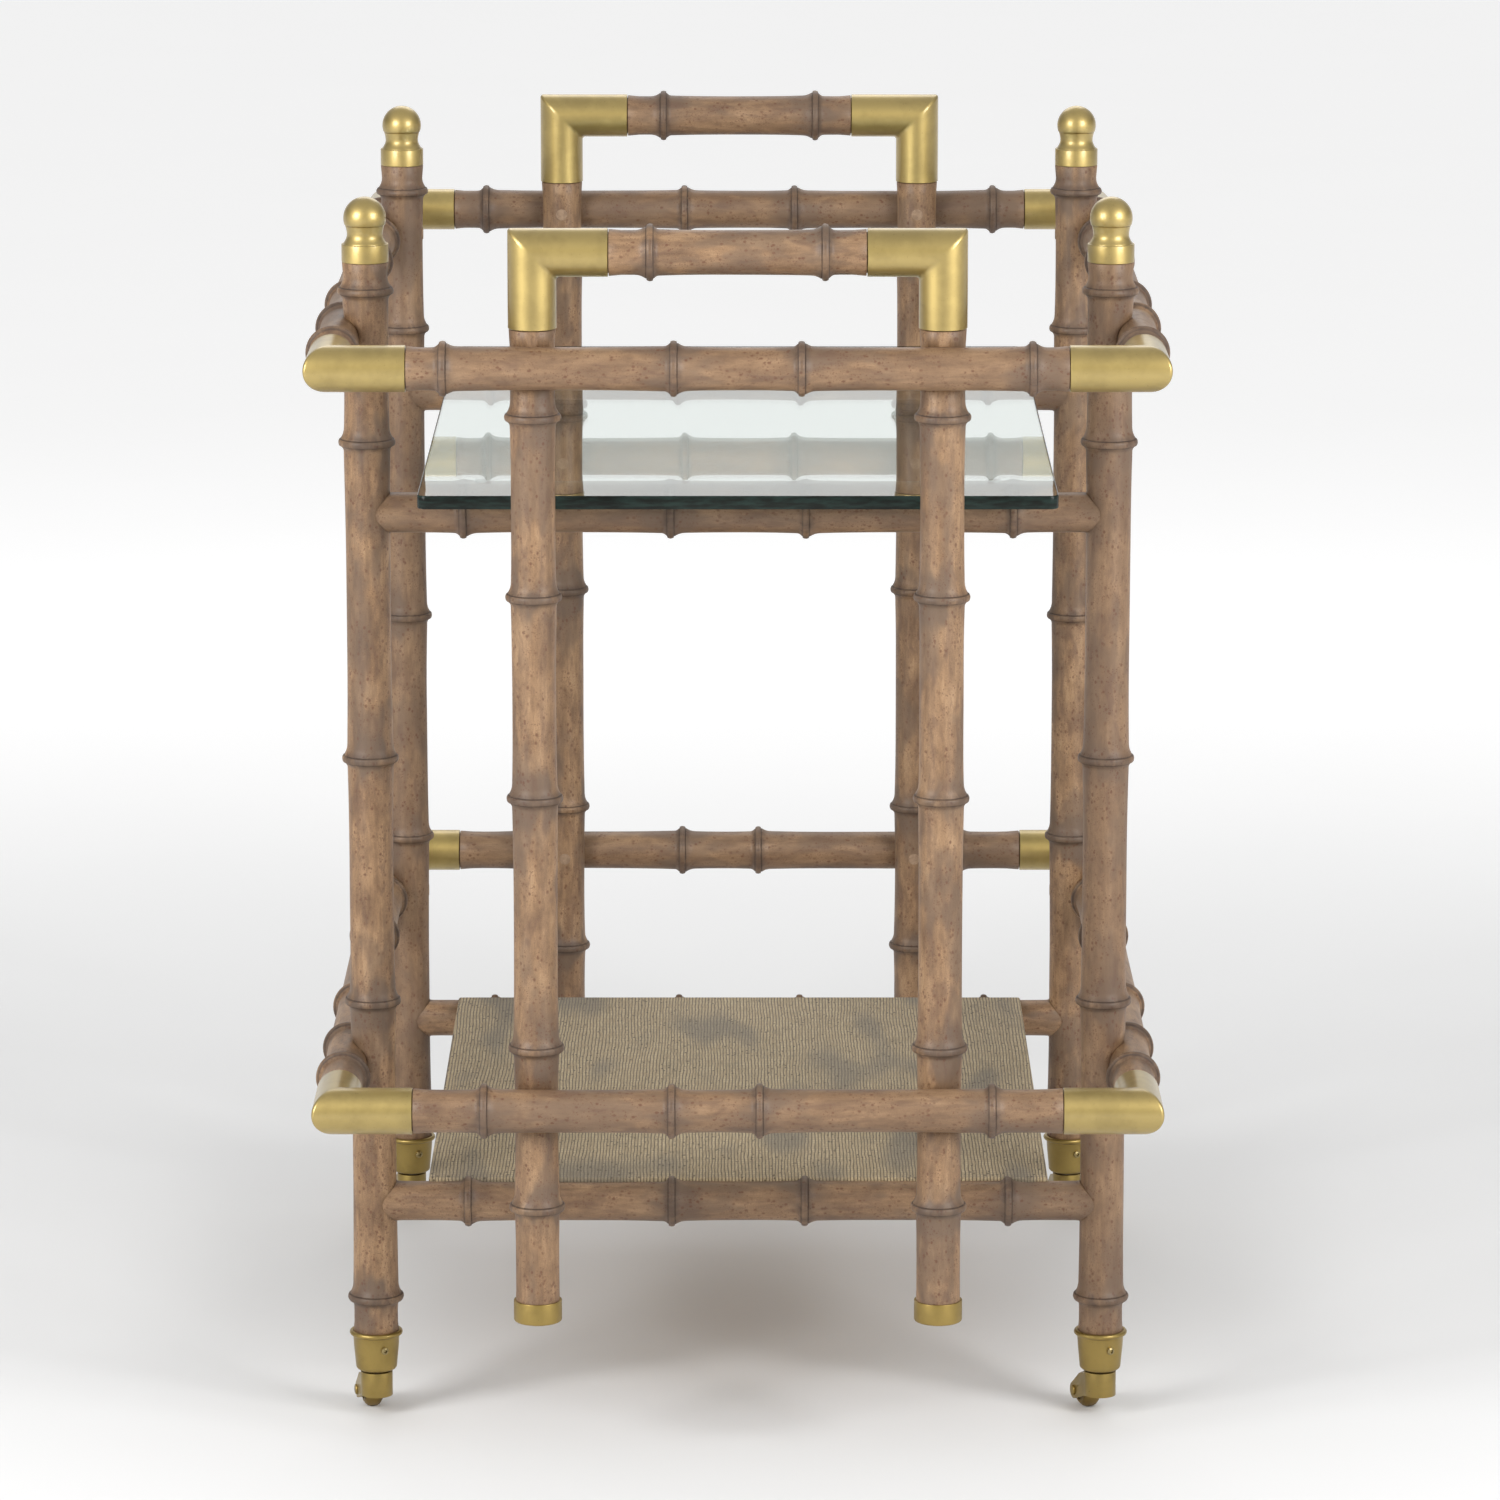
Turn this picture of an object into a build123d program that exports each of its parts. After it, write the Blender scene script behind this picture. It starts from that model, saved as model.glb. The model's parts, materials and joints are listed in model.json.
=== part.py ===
from build123d import *
from math import cos, radians, sin, sqrt
import os

# Bar cart on casters: a frame of wooden rods turned like bamboo, joined by brass elbows,
# with brass finials, a loose glass shelf and a cloth-covered lower shelf.
# Millimetres. Origin on the floor under the middle of the cart, +Z up, X across, Y along.

# ---- Driving dimensions ----
overall_height = 880.6
post_spacing_x = 520.0          # between post axes, across
post_spacing_y = 554.4          # between post axes, along
ring_side_offset = 18.8         # side rail axis outside the post axis
ring_end_overhang = 146.5       # end rail axis beyond the post axis

# Heights of the rod axes
gallery_drop = 98.9             # gallery ring below the top of the finials
glass_rail_drop = 123.8         # glass rails below the gallery ring
stretcher_height = 262.1        # lower ring above the floor
shelf_rail_height = 158.5
handle_drop = 22.1              # handle axis below the top of the finials

# Rods
post_radius = 15.8
gallery_radius = 14.9
stretcher_radius = 15.1
leg_radius = 15.4
cross_rail_radius = 14.3
ring_rise = 3.6                 # how far a bamboo ring stands above its rod
bead_width = 4.6
bead_crown = 0.9
flare_length = 7.0

# Places of the bamboo rings, measured from what is beside them
post_ring_below_top = 17.6
post_ring_below_gallery = 73.7
post_ring_above_middle = 22.0
post_ring_above_stretcher = 43.9
post_ring_above_cup = 24.5
leg_ring_below_gallery = 36.2
leg_ring_below_glass_rail = 37.3
leg_ring_above_middle = 19.5
leg_ring_above_stretcher = 40.5
leg_ring_below_stretcher = 73.7
end_rail_ring_from_seam = 25.1
end_rail_ring_from_centre = 43.5
stretcher_ring_from_seam = 49.6
stretcher_ring_left = -46.0
stretcher_ring_right = 15.0
gallery_side_rings = (72.0, 190.0, 306.0)      # from each end rail's axis
stretcher_side_rings = (94.0, 182.0, 308.0)
cross_rail_ring_from_post = 67.0
cross_rail_ring_from_centre = 47.5
grip_ring_from_seam = 28.1

# Brass elbows and caps
ring_elbow_step = 1.1           # how far the elbow stands proud of its rods
ring_elbow_arm = 53.2           # corner axis to the mouth
handle_elbow_step = 1.2
handle_elbow_arm = 51.8
elbow_wall = 2.0
tenon_length = 30.0
leg_cap_wall = 1.4
leg_cap_height = 15.3
leg_bottom = 106.0

# Handle frames
leg_from_seam = 85.6            # leg axis inboard of the mouth of the ring's elbow
leg_inset = 20.0                # leg axis inboard of the end rail's axis

# Finials
finial_step_out = 0.6           # finial's base beyond the post
finial_base_height = 14.0
finial_step = 0.9
finial_neck_radius = 12.65
finial_neck_height = 21.8
finial_ball_foot = 26.0         # height where the neck meets the ball
finial_ball_radius = 14.9
finial_height = 48.0
stud_radius = 3.0
stud_depth = 16.0

# Shelves
glass_thickness = 9.5
glass_end_overhang = 77.8       # glass edge beyond the post axis
glass_side_gap = 22.2           # glass edge to the post
glass_corner = 6.0
glass_arris = 0.7
bumper_radius = 4.5
bumper_height = 1.5
rail_flat = 0.7                 # depth of the flat planed along the glass rails
bumper_from_post = 80.0
board_thickness = 10.4
cloth_thickness = 0.8
cloth_hem = 45.0                # width of cloth turned under the board
shelf_side_gap = 22.7
shelf_rise = 4.8                # rebate floor above the shelf rail's axis

# Casters
wheel_radius = 12.7
wheel_width = 13.0
wheel_edge = 2.4                # rounding of the tread's edges
wheel_dish_depth = 1.0
wheel_dish_radius = 9.0
wheel_room = 1.3                # between the tread and the fork
wheel_side_room = 0.8
hub_radius = 5.0
wheel_behind_swivel = 9.3       # from the swivel axis to the tread
axle_radius = 2.5
axle_head_radius = 3.7
axle_head_height = 1.5
fork_half_width = 11.2
fork_boss_radius = 6.0
fork_back_slope = 40.0          # degrees, where the cheek's back leaves the boss
fork_shoulder_drop = 4.0        # cheek's front shoulder below the top of the collar
fork_crown_drop = 1.0
collar_radius = 11.45
collar_above_axle = 2.0
collar_height = 17.8
swivel_gap = 1.2                # between the collar and the cup
stem_radius = 4.0
stem_head_radius = 6.0
stem_head_height = 2.8
stem_head_rise = 6.5            # top of the head above the underside of the collar
stem_head_room = 0.4
stem_flange_radius = 7.0
stem_flange_height = 2.0
stem_shoulder_radius = 8.0
cup_height = 29.8
cup_floor = 2.5
cup_wall = 1.7
cup_step_out = 0.9              # cup's outside beyond the post, under the lip
cup_taper = 2.0                 # loss of radius from the lip to the base
cup_base_inset = 3.1            # loss of radius round the base's edge
cup_base_rise = 3.4             # height of that rounding
cup_lip_wall = 2.4
cup_lip_height = 3.9
cup_lip_depth = 2.6             # height of the lip above the post's shoulder
swivel_angles = {"left_near": 12.0, "right_near": 21.0, "left_far": 17.0, "right_far": 9.0}

# Fasteners
dowel_radius = 4.0
dowel_in_post = 9.0
dowel_in_rail = 22.0
screw_radius = 2.0
screw_head_radius = 3.9
screw_head_height = 2.6
screw_bite = 20.0               # length of screw in the second piece
plug_radius = 4.4
plug_length = 6.0
plug_recess = 0.6
cup_screw_radius = 1.6
cup_screw_head_radius = 2.7
cup_screw_head_height = 1.3
cup_screw_length = 12.0
cup_screw_rise = 17.3           # above the underside of the cup
cup_screw_bearing = 24.0        # degrees from the near side, towards +X
shelf_screw_spacing = 240.0
shelf_screw_bite = 8.0
shelf_screw_inset = 6.5
shelf_screw_recess = 7.0        # screw head's seat above the underside of the shelf rail

# Clearances
lap_gap = 0.05                  # notch round a rod, saddle on a post
seam_gap = 0.35                 # brass mouth to wooden shoulder
tenon_gap = 0.10
running_gap = 0.05
press_gap = 0.02
cap_gap = 0.05
lip_gap = 0.7
panel_gap = 0.2

# ---- Places worked out from the driving dimensions ----
gallery_height = overall_height - gallery_drop
glass_rail_height = gallery_height - glass_rail_drop
handle_height = overall_height - handle_drop
post_top = overall_height - finial_height
post_x = post_spacing_x / 2
post_y = post_spacing_y / 2
ring_x = post_x + ring_side_offset
ring_y = post_y + ring_end_overhang
leg_x = ring_x - ring_elbow_arm - leg_from_seam
leg_y = ring_y - leg_inset
middle_height = (glass_rail_height + stretcher_height) / 2

glass_bottom = glass_rail_height + cross_rail_radius - rail_flat + bumper_height
glass_width = post_spacing_x - 2 * (post_radius + glass_side_gap)
glass_length = post_spacing_y + 2 * glass_end_overhang
shelf_width = post_spacing_x - 2 * (post_radius + shelf_side_gap)
shelf_length = post_spacing_y - 2 * panel_gap
shelf_bottom = shelf_rail_height + shelf_rise
bumper_x = post_x - bumper_from_post

ball_height = finial_height - finial_ball_radius
ball_foot_radius = sqrt(finial_ball_radius**2 - (ball_height - finial_ball_foot) ** 2)
finial_base_radius = post_radius + finial_step_out
cove_radius = finial_base_radius - finial_step

trail = wheel_radius + wheel_behind_swivel
collar_bottom = wheel_radius + collar_above_axle
collar_top = collar_bottom + collar_height
stem_head_top = collar_bottom + stem_head_rise
cup_bottom = collar_top + swivel_gap
cup_top = cup_bottom + cup_height
cup_high_radius = post_radius + cup_step_out
cup_low_radius = cup_high_radius - cup_taper
cup_base_radius = cup_low_radius - cup_base_inset
cup_lip_inner_radius = post_radius + lip_gap
cup_lip_radius = cup_lip_inner_radius + cup_lip_wall
cup_screw_height = cup_bottom + cup_screw_rise
cup_screw_way = Vector(
    sin(radians(cup_screw_bearing)),
    -cos(radians(cup_screw_bearing)),
    0,
)

SIDES = {"left": -1, "right": 1}
ENDS = {"near": -1, "far": 1}
CORNERS = {f"{side}_{end}": (sx, sy) for side, sx in SIDES.items() for end, sy in ENDS.items()}
RINGS = {
    "gallery": (gallery_height, gallery_radius),
    "stretcher": (stretcher_height, stretcher_radius),
}

os.makedirs("parts", exist_ok=True)


def save(piece, name):
    """Label a finished piece and write it."""
    piece.label = name
    export_step(piece, f"parts/{name}.step")


def upright(x, y):
    """Plane through an upright axis: local x is radial, local y runs up."""
    return Plane(origin=(x, y, 0), x_dir=(1, 0, 0), z_dir=(0, -1, 0))


def crosswise(y, z):
    """Plane through an axis along X: local x is radial, local y runs along +X."""
    return Plane(origin=(0, y, z), x_dir=(0, 0, 1), z_dir=(0, 1, 0))


def lengthwise(x, z):
    """Plane through an axis along Y: local x is radial, local y runs along +Y."""
    return Plane(origin=(x, 0, z), x_dir=(0, 0, 1), z_dir=(-1, 0, 0))


def bamboo_rod(plane, start, end, radius, stations, tenon_radius=0.0, tenons=(0, 0)):
    """Rod turned about the plane's y axis, with a flared bamboo ring at each station.

    A tenon of the given length stands out of the start, the end or both.
    """
    half_bead = bead_width / 2
    edge = radius + ring_rise - bead_crown
    low, high = start - tenons[0], end + tenons[1]
    with BuildPart() as rod:
        with BuildSketch(plane):
            with BuildLine():
                at = (tenon_radius if tenons[0] else radius, low)
                Line((0, low), at)
                if tenons[0]:
                    Polyline(at, (tenon_radius, start), (radius, start))
                    at = (radius, start)
                for station in sorted(stations):
                    foot = (radius, station - half_bead - flare_length)
                    Line(at, foot)
                    TangentArc(foot, (edge, station - half_bead), tangent=(0, 1))
                    ThreePointArc(
                        (edge, station - half_bead),
                        (radius + ring_rise, station),
                        (edge, station + half_bead),
                    )
                    at = (radius, station + half_bead + flare_length)
                    TangentArc(at, (edge, station + half_bead), tangent=(0, -1))
                Line(at, (radius, end))
                at = (radius, end)
                if tenons[1]:
                    Polyline(at, (tenon_radius, end), (tenon_radius, high))
                    at = (tenon_radius, high)
                Polyline(at, (0, high), (0, low))
            make_face()
        revolve(axis=Axis(plane.origin, plane.y_dir))
    return rod.part


def brass_elbow(mouth_a, corner, mouth_b, radius):
    """Mitred tube from one mouth round the corner to the other."""
    corner = Vector(*corner)
    with BuildPart() as elbow:
        with BuildLine() as path:
            Polyline(mouth_a, corner, mouth_b)
        with BuildSketch(Plane(origin=mouth_a, z_dir=corner - Vector(*mouth_a))):
            Circle(radius)
            Circle(radius - elbow_wall, mode=Mode.SUBTRACT)
        sweep(path=path.wires()[0], transition=Transition.RIGHT)
    return elbow.part


# ---- Lap joints: the rings pass whole outside the posts and legs, which are notched ----
def laps_of(corner):
    """For each lap of a corner's post and leg: the upright, the screw's start on its inner face,
    the direction outwards, the depth of wood up to the notch, the rail's radius and its axis."""
    sx, sy = CORNERS[corner]
    post_face = post_x - post_radius
    leg_face = leg_y - leg_radius
    found = []
    for height, rail_radius in RINGS.values():
        found.append((
            "post",
            Vector(sx * post_face, sy * post_y, height),
            Vector(sx, 0, 0),
            ring_x - rail_radius - post_face,
            rail_radius,
            Plane(origin=(sx * ring_x, sy * post_y, height), z_dir=(0, 1, 0)),
        ))
        found.append((
            "leg",
            Vector(sx * leg_x, sy * leg_face, height),
            Vector(0, sy, 0),
            ring_y - rail_radius - leg_face,
            rail_radius,
            Plane(origin=(sx * leg_x, sy * ring_y, height), z_dir=(1, 0, 0)),
        ))
    return found


plug_depth = plug_recess + plug_length


def cut_laps(corner, upright_name):
    """Notch an upright round the ring rails and drill it for the lap screws and their plugs."""
    for name, face, outwards, depth, rail_radius, rail_axis in laps_of(corner):
        if name == upright_name:
            with Locations(rail_axis):
                Cylinder(rail_radius + lap_gap, 4 * post_radius, mode=Mode.SUBTRACT)
            with Locations(Plane(origin=face, z_dir=outwards * -1)):
                CounterBoreHole(
                    screw_radius + press_gap,
                    plug_radius + press_gap,
                    plug_depth + screw_head_height,
                    depth + screw_radius,
                )


def drill_for_screws(wanted_radius, sides, ends, upright_name):
    """Pilot holes in a ring rail for the lap screws that reach it."""
    for corner, (sx, sy) in CORNERS.items():
        if sx in sides and sy in ends:
            for name, face, outwards, depth, rail_radius, rail_axis in laps_of(corner):
                if name == upright_name and rail_radius == wanted_radius:
                    with Locations(Plane(origin=face + outwards * depth, z_dir=outwards * -1)):
                        Hole(screw_radius + press_gap, depth=screw_bite + press_gap)


# ---- Posts ----
post_shoulder = cup_top - cup_lip_depth
post_foot = cup_bottom + cup_floor + stem_flange_height + panel_gap
cone_top_radius = cup_high_radius - cup_wall - tenon_gap
cone_foot_radius = cup_low_radius - cup_wall - tenon_gap
post_stations = [
    cup_top + post_ring_above_cup,
    stretcher_height + post_ring_above_stretcher,
    middle_height + post_ring_above_middle,
    gallery_height - post_ring_below_gallery,
    post_top - post_ring_below_top,
]

for corner, (sx, sy) in CORNERS.items():
    axis_plane = upright(sx * post_x, sy * post_y)
    with BuildPart() as post:
        add(bamboo_rod(axis_plane, post_shoulder, post_top, post_radius, post_stations))
        with BuildSketch(axis_plane):
            with BuildLine():
                Polyline(
                    (0, post_foot),
                    (cone_foot_radius, post_foot),
                    (cone_top_radius, post_shoulder),
                    (0, post_shoulder),
                    close=True,
                )
            make_face()
        revolve(axis=Axis(axis_plane.origin, axis_plane.y_dir))
        cut_laps(corner, "post")
        # Bore for the finial's stud, and sockets for the cross rails' dowels
        with Locations(Plane.XY.offset(post_top) * Location((sx * post_x, sy * post_y))):
            Hole(stud_radius + press_gap, depth=stud_depth)
        for height in (glass_rail_height, shelf_rail_height):
            socket = (sx * (post_x - post_radius), sy * post_y, height)
            with Locations(Plane(origin=socket, z_dir=(-sx, 0, 0))):
                Hole(dowel_radius + press_gap, depth=dowel_in_post)
        # Pilot hole for the cup's screw
        mouth = Vector(sx * post_x, sy * post_y, cup_screw_height) + cup_screw_way * cup_high_radius
        with Locations(Plane(origin=mouth, z_dir=cup_screw_way)):
            Hole(cup_screw_radius + press_gap, depth=cup_screw_length)
    save(post.part, "post_" + corner)

# ---- Rings: end rails across, side rails along, brass elbows at the corners ----
ring_stations = {
    "gallery": {
        "across": [
            sign * place
            for sign in (-1, 1)
            for place in (
                end_rail_ring_from_centre,
                ring_x - ring_elbow_arm - end_rail_ring_from_seam,
            )
        ],
        "along": [sign * (ring_y - place) for sign in (-1, 1) for place in gallery_side_rings],
    },
    "stretcher": {
        "across": [
            -(ring_x - ring_elbow_arm - stretcher_ring_from_seam),
            stretcher_ring_left,
            stretcher_ring_right,
            ring_x - ring_elbow_arm - stretcher_ring_from_seam,
        ],
        "along": [sign * (ring_y - place) for sign in (-1, 1) for place in stretcher_side_rings],
    },
}

for ring, (height, rail_radius) in RINGS.items():
    ring_elbow_radius = rail_radius + ring_elbow_step
    ring_tenon_radius = ring_elbow_radius - elbow_wall - tenon_gap
    shoulder = ring_x - ring_elbow_arm - seam_gap
    for end, sy in ENDS.items():
        with BuildPart() as rail:
            add(bamboo_rod(
                crosswise(sy * ring_y, height),
                -shoulder,
                shoulder,
                rail_radius,
                ring_stations[ring]["across"],
                ring_tenon_radius,
                (tenon_length, tenon_length),
            ))
            drill_for_screws(rail_radius, (-1, 1), (sy,), "leg")
        save(rail.part, f"{ring}_rail_{end}")

    shoulder = ring_y - ring_elbow_arm - seam_gap
    for side, sx in SIDES.items():
        with BuildPart() as rail:
            add(bamboo_rod(
                lengthwise(sx * ring_x, height),
                -shoulder,
                shoulder,
                rail_radius,
                ring_stations[ring]["along"],
                ring_tenon_radius,
                (tenon_length, tenon_length),
            ))
            drill_for_screws(rail_radius, (sx,), (-1, 1), "post")
        save(rail.part, f"{ring}_rail_{side}")

    for corner, (sx, sy) in CORNERS.items():
        elbow = brass_elbow(
            (sx * (ring_x - ring_elbow_arm), sy * ring_y, height),
            (sx * ring_x, sy * ring_y, height),
            (sx * ring_x, sy * (ring_y - ring_elbow_arm), height),
            ring_elbow_radius,
        )
        save(elbow, f"{ring}_elbow_{corner}")

# ---- Handle frames: two legs, two elbows and a grip at each end ----
leg_stations = [
    stretcher_height - leg_ring_below_stretcher,
    stretcher_height + leg_ring_above_stretcher,
    middle_height + leg_ring_above_middle,
    glass_rail_height - leg_ring_below_glass_rail,
    gallery_height - leg_ring_below_gallery,
]
handle_elbow_radius = leg_radius + handle_elbow_step
handle_tenon_radius = handle_elbow_radius - elbow_wall - tenon_gap
leg_top = handle_height - handle_elbow_arm - seam_gap

for corner, (sx, sy) in CORNERS.items():
    with BuildPart() as leg:
        add(bamboo_rod(
            upright(sx * leg_x, sy * leg_y),
            leg_bottom + leg_cap_wall + cap_gap,
            leg_top,
            leg_radius,
            leg_stations,
            handle_tenon_radius,
            (0, tenon_length),
        ))
        cut_laps(corner, "leg")
    save(leg.part, "handle_leg_" + corner)

    elbow = brass_elbow(
        (sx * leg_x, sy * leg_y, handle_height - handle_elbow_arm),
        (sx * leg_x, sy * leg_y, handle_height),
        (sx * (leg_x - handle_elbow_arm), sy * leg_y, handle_height),
        handle_elbow_radius,
    )
    save(elbow, "handle_elbow_" + corner)

grip_shoulder = leg_x - handle_elbow_arm - seam_gap
grip_station = grip_shoulder - grip_ring_from_seam
for end, sy in ENDS.items():
    grip = bamboo_rod(
        crosswise(sy * leg_y, handle_height),
        -grip_shoulder,
        grip_shoulder,
        leg_radius,
        [-grip_station, grip_station],
        handle_tenon_radius,
        (tenon_length, tenon_length),
    )
    save(grip, "handle_grip_" + end)

leg_places = [(sx * leg_x, sy * leg_y) for sx, sy in CORNERS.values()]
leg_cap_radius = leg_radius + cap_gap + leg_cap_wall
with BuildPart() as leg_caps:
    with BuildSketch(Plane.XY.offset(leg_bottom)):
        with Locations(leg_places):
            Circle(leg_cap_radius)
    extrude(amount=leg_cap_height)
    fillet(leg_caps.faces().sort_by(Axis.Z)[:4].edges(), leg_cap_wall)
    with BuildSketch(Plane.XY.offset(leg_bottom + leg_cap_wall)):
        with Locations(leg_places):
            Circle(leg_radius + cap_gap)
    extrude(amount=leg_cap_height, mode=Mode.SUBTRACT)
save(leg_caps.part, "leg_end_caps")

# ---- Cross rails between the posts, saddled on them and dowelled ----
cross_stations = [
    sign * place
    for sign in (-1, 1)
    for place in (cross_rail_ring_from_centre, post_x - cross_rail_ring_from_post)
]
board_end = post_y - panel_gap
screw_room = screw_radius + press_gap
head_seat = shelf_rail_height - cross_rail_radius + shelf_screw_recess
screw_places = [
    (place, sy * (board_end - shelf_screw_inset))
    for place in (-shelf_screw_spacing / 2, shelf_screw_spacing / 2)
    for sy in (-1, 1)
]

for name, height in (("glass_rail", glass_rail_height), ("shelf_rail", shelf_rail_height)):
    for end, sy in ENDS.items():
        with BuildPart() as rail:
            add(bamboo_rod(
                crosswise(sy * post_y, height), -post_x, post_x, cross_rail_radius, cross_stations
            ))
            with Locations(*[Location((sx * post_x, sy * post_y, height)) for sx in (-1, 1)]):
                Cylinder(post_radius + lap_gap, 4 * post_radius, mode=Mode.SUBTRACT)
            for sx in (-1, 1):
                mouth = (sx * (post_x - post_radius), sy * post_y, height)
                with Locations(Plane(origin=mouth, z_dir=(sx, 0, 0))):
                    Hole(dowel_radius + press_gap, depth=dowel_in_rail)
            if name == "glass_rail":
                # Planed flat along the top, so that the glass clears the rings and bumpers sit
                with Locations((0, sy * post_y, height + cross_rail_radius - rail_flat)):
                    Box(
                        post_spacing_x, 4 * cross_rail_radius, 2 * cross_rail_radius,
                        align=(Align.CENTER, Align.CENTER, Align.MIN), mode=Mode.SUBTRACT,
                    )
            else:
                # Rebate on the inner side that carries the end of the shelf
                with Locations((0, sy * post_y, shelf_bottom)):
                    Box(
                        shelf_width + 2 * panel_gap, 2 * cross_rail_radius, 2 * cross_rail_radius,
                        align=(Align.CENTER, Align.MAX if sy > 0 else Align.MIN, Align.MIN),
                        mode=Mode.SUBTRACT,
                    )
                # Clearance holes from below, with a flat-bottomed recess for each screw's head
                for x, y in screw_places:
                    if y * sy > 0:
                        with Locations((x, y, head_seat)):
                            Cylinder(
                                screw_head_radius + press_gap, cross_rail_radius,
                                align=(Align.CENTER, Align.CENTER, Align.MAX), mode=Mode.SUBTRACT,
                            )
                            Cylinder(screw_room, 4 * cross_rail_radius, mode=Mode.SUBTRACT)
        save(rail.part, f"{name}_{end}")

# ---- Glass shelf, loose on four clear bumpers ----
with BuildPart() as glass:
    with BuildSketch(Plane.XY.offset(glass_bottom)):
        Rectangle(glass_width, glass_length)
    extrude(amount=glass_thickness)
    chamfer(glass.edges().filter_by(Axis.Z), glass_corner)
    chamfer(glass.faces().filter_by(Axis.Z).edges(), glass_arris)
save(glass.part, "glass_shelf")

with BuildPart() as bumpers:
    with BuildSketch(Plane.XY.offset(glass_bottom - bumper_height)):
        with Locations(*[(sx * bumper_x, sy * post_y) for sx in (-1, 1) for sy in (-1, 1)]):
            Circle(bumper_radius)
    extrude(amount=bumper_height)
save(bumpers.part, "glass_bumpers")

# ---- Lower shelf: a board wrapped in woven cloth ----
board_bottom = shelf_bottom + cloth_thickness
core_width = shelf_width - 2 * cloth_thickness
core_length = shelf_length - 2 * cloth_thickness

with BuildPart() as board:
    with BuildSketch(Plane.XY.offset(board_bottom)):
        Rectangle(core_width, core_length)
    extrude(amount=board_thickness)
    with Locations(*[Location((x, y, board_bottom), (180, 0, 0)) for x, y in screw_places]):
        Hole(screw_room, depth=shelf_screw_bite)
save(board.part, "lower_shelf_board")

with BuildPart() as cloth:
    with BuildSketch(Plane.XY.offset(shelf_bottom)):
        Rectangle(shelf_width, shelf_length)
    extrude(amount=board_thickness + 2 * cloth_thickness)
    with BuildSketch(Plane.XY.offset(board_bottom)):
        Rectangle(core_width, core_length)
    extrude(amount=board_thickness, mode=Mode.SUBTRACT)
    with BuildSketch(Plane.XY.offset(shelf_bottom)):
        Rectangle(shelf_width - 2 * cloth_hem, shelf_length - 2 * cloth_hem)
        with Locations(screw_places):
            Circle(screw_room)
    extrude(amount=cloth_thickness, mode=Mode.SUBTRACT)
save(cloth.part, "lower_shelf_cloth")

# ---- Finials and their studs ----
post_places = [(sx * post_x, sy * post_y) for sx, sy in CORNERS.values()]
with BuildPart() as finial:
    with BuildSketch(Plane.XZ):
        with BuildLine():
            Polyline(
                (0, finial_height),
                (0, 0),
                (finial_base_radius, 0),
                (finial_base_radius, finial_base_height),
                (cove_radius, finial_base_height + finial_step),
            )
            ThreePointArc(
                (cove_radius, finial_base_height + finial_step),
                (finial_neck_radius, finial_neck_height),
                (ball_foot_radius, finial_ball_foot),
            )
            ThreePointArc(
                (ball_foot_radius, finial_ball_foot),
                (finial_ball_radius, ball_height),
                (0, finial_height),
            )
        make_face()
    revolve(axis=Axis.Z)
    with Locations(Location((0, 0, 0), (180, 0, 0))):
        Hole(stud_radius + press_gap, depth=stud_depth)
with BuildPart() as finials:
    with Locations(*[(x, y, post_top) for x, y in post_places]):
        add(finial.part)
save(finials.part, "finials")

with BuildPart() as studs:
    with BuildSketch(Plane.XY.offset(post_top - stud_depth + press_gap)):
        with Locations(post_places):
            Circle(stud_radius)
    extrude(amount=2 * (stud_depth - press_gap))
save(studs.part, "finial_studs")

# ---- Casters: cup and stem fixed to the post, fork swivelling on the stem, wheel in the fork ----
with BuildPart() as cup:
    with BuildSketch(Plane.XZ):
        with BuildLine():
            Polyline(
                (stem_radius + press_gap, cup_bottom + cup_floor),
                (stem_radius + press_gap, cup_bottom),
                (cup_base_radius, cup_bottom),
            )
            ThreePointArc(
                (cup_base_radius, cup_bottom),
                (cup_low_radius - cup_base_inset / 4, cup_bottom + cup_base_rise / 3),
                (cup_low_radius, cup_bottom + cup_base_rise),
            )
            Line(
                (cup_low_radius, cup_bottom + cup_base_rise),
                (cup_high_radius, cup_top - cup_lip_height),
            )
            ThreePointArc(
                (cup_high_radius, cup_top - cup_lip_height),
                (cup_lip_radius, cup_top - cup_lip_height / 2),
                (cup_lip_inner_radius, cup_top),
            )
            Polyline(
                (cup_lip_inner_radius, cup_top),
                (cup_lip_inner_radius, post_shoulder),
                (cone_top_radius + tenon_gap, post_shoulder),
                (cone_foot_radius + tenon_gap, post_foot),
                (cone_foot_radius + tenon_gap, cup_bottom + cup_floor),
                (stem_radius + press_gap, cup_bottom + cup_floor),
            )
        make_face()
    revolve(axis=Axis.Z)
    mouth = Vector(0, 0, cup_screw_height) + cup_screw_way * cup_high_radius
    with Locations(Plane(origin=mouth, z_dir=cup_screw_way)):
        Hole(cup_screw_radius + press_gap, depth=cup_high_radius)
with BuildPart() as cups:
    with Locations(*post_places):
        add(cup.part)
save(cups.part, "caster_cups")

shoulder_bottom = collar_top + running_gap
with BuildPart() as stem:
    with BuildSketch(Plane.XZ):
        with BuildLine():
            Polyline(
                (0, stem_head_top - stem_head_height),
                (stem_head_radius, stem_head_top - stem_head_height),
                (stem_head_radius, stem_head_top),
                (stem_radius, stem_head_top),
                (stem_radius, shoulder_bottom),
                (stem_shoulder_radius, shoulder_bottom),
                (stem_shoulder_radius, cup_bottom),
                (stem_radius, cup_bottom),
                (stem_radius, cup_bottom + cup_floor),
                (stem_flange_radius, cup_bottom + cup_floor),
                (stem_flange_radius, cup_bottom + cup_floor + stem_flange_height),
                (0, cup_bottom + cup_floor + stem_flange_height),
                close=True,
            )
        make_face()
    revolve(axis=Axis.Z)
with BuildPart() as stems:
    with Locations(*post_places):
        add(stem.part)
save(stems.part, "caster_stems")

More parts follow.
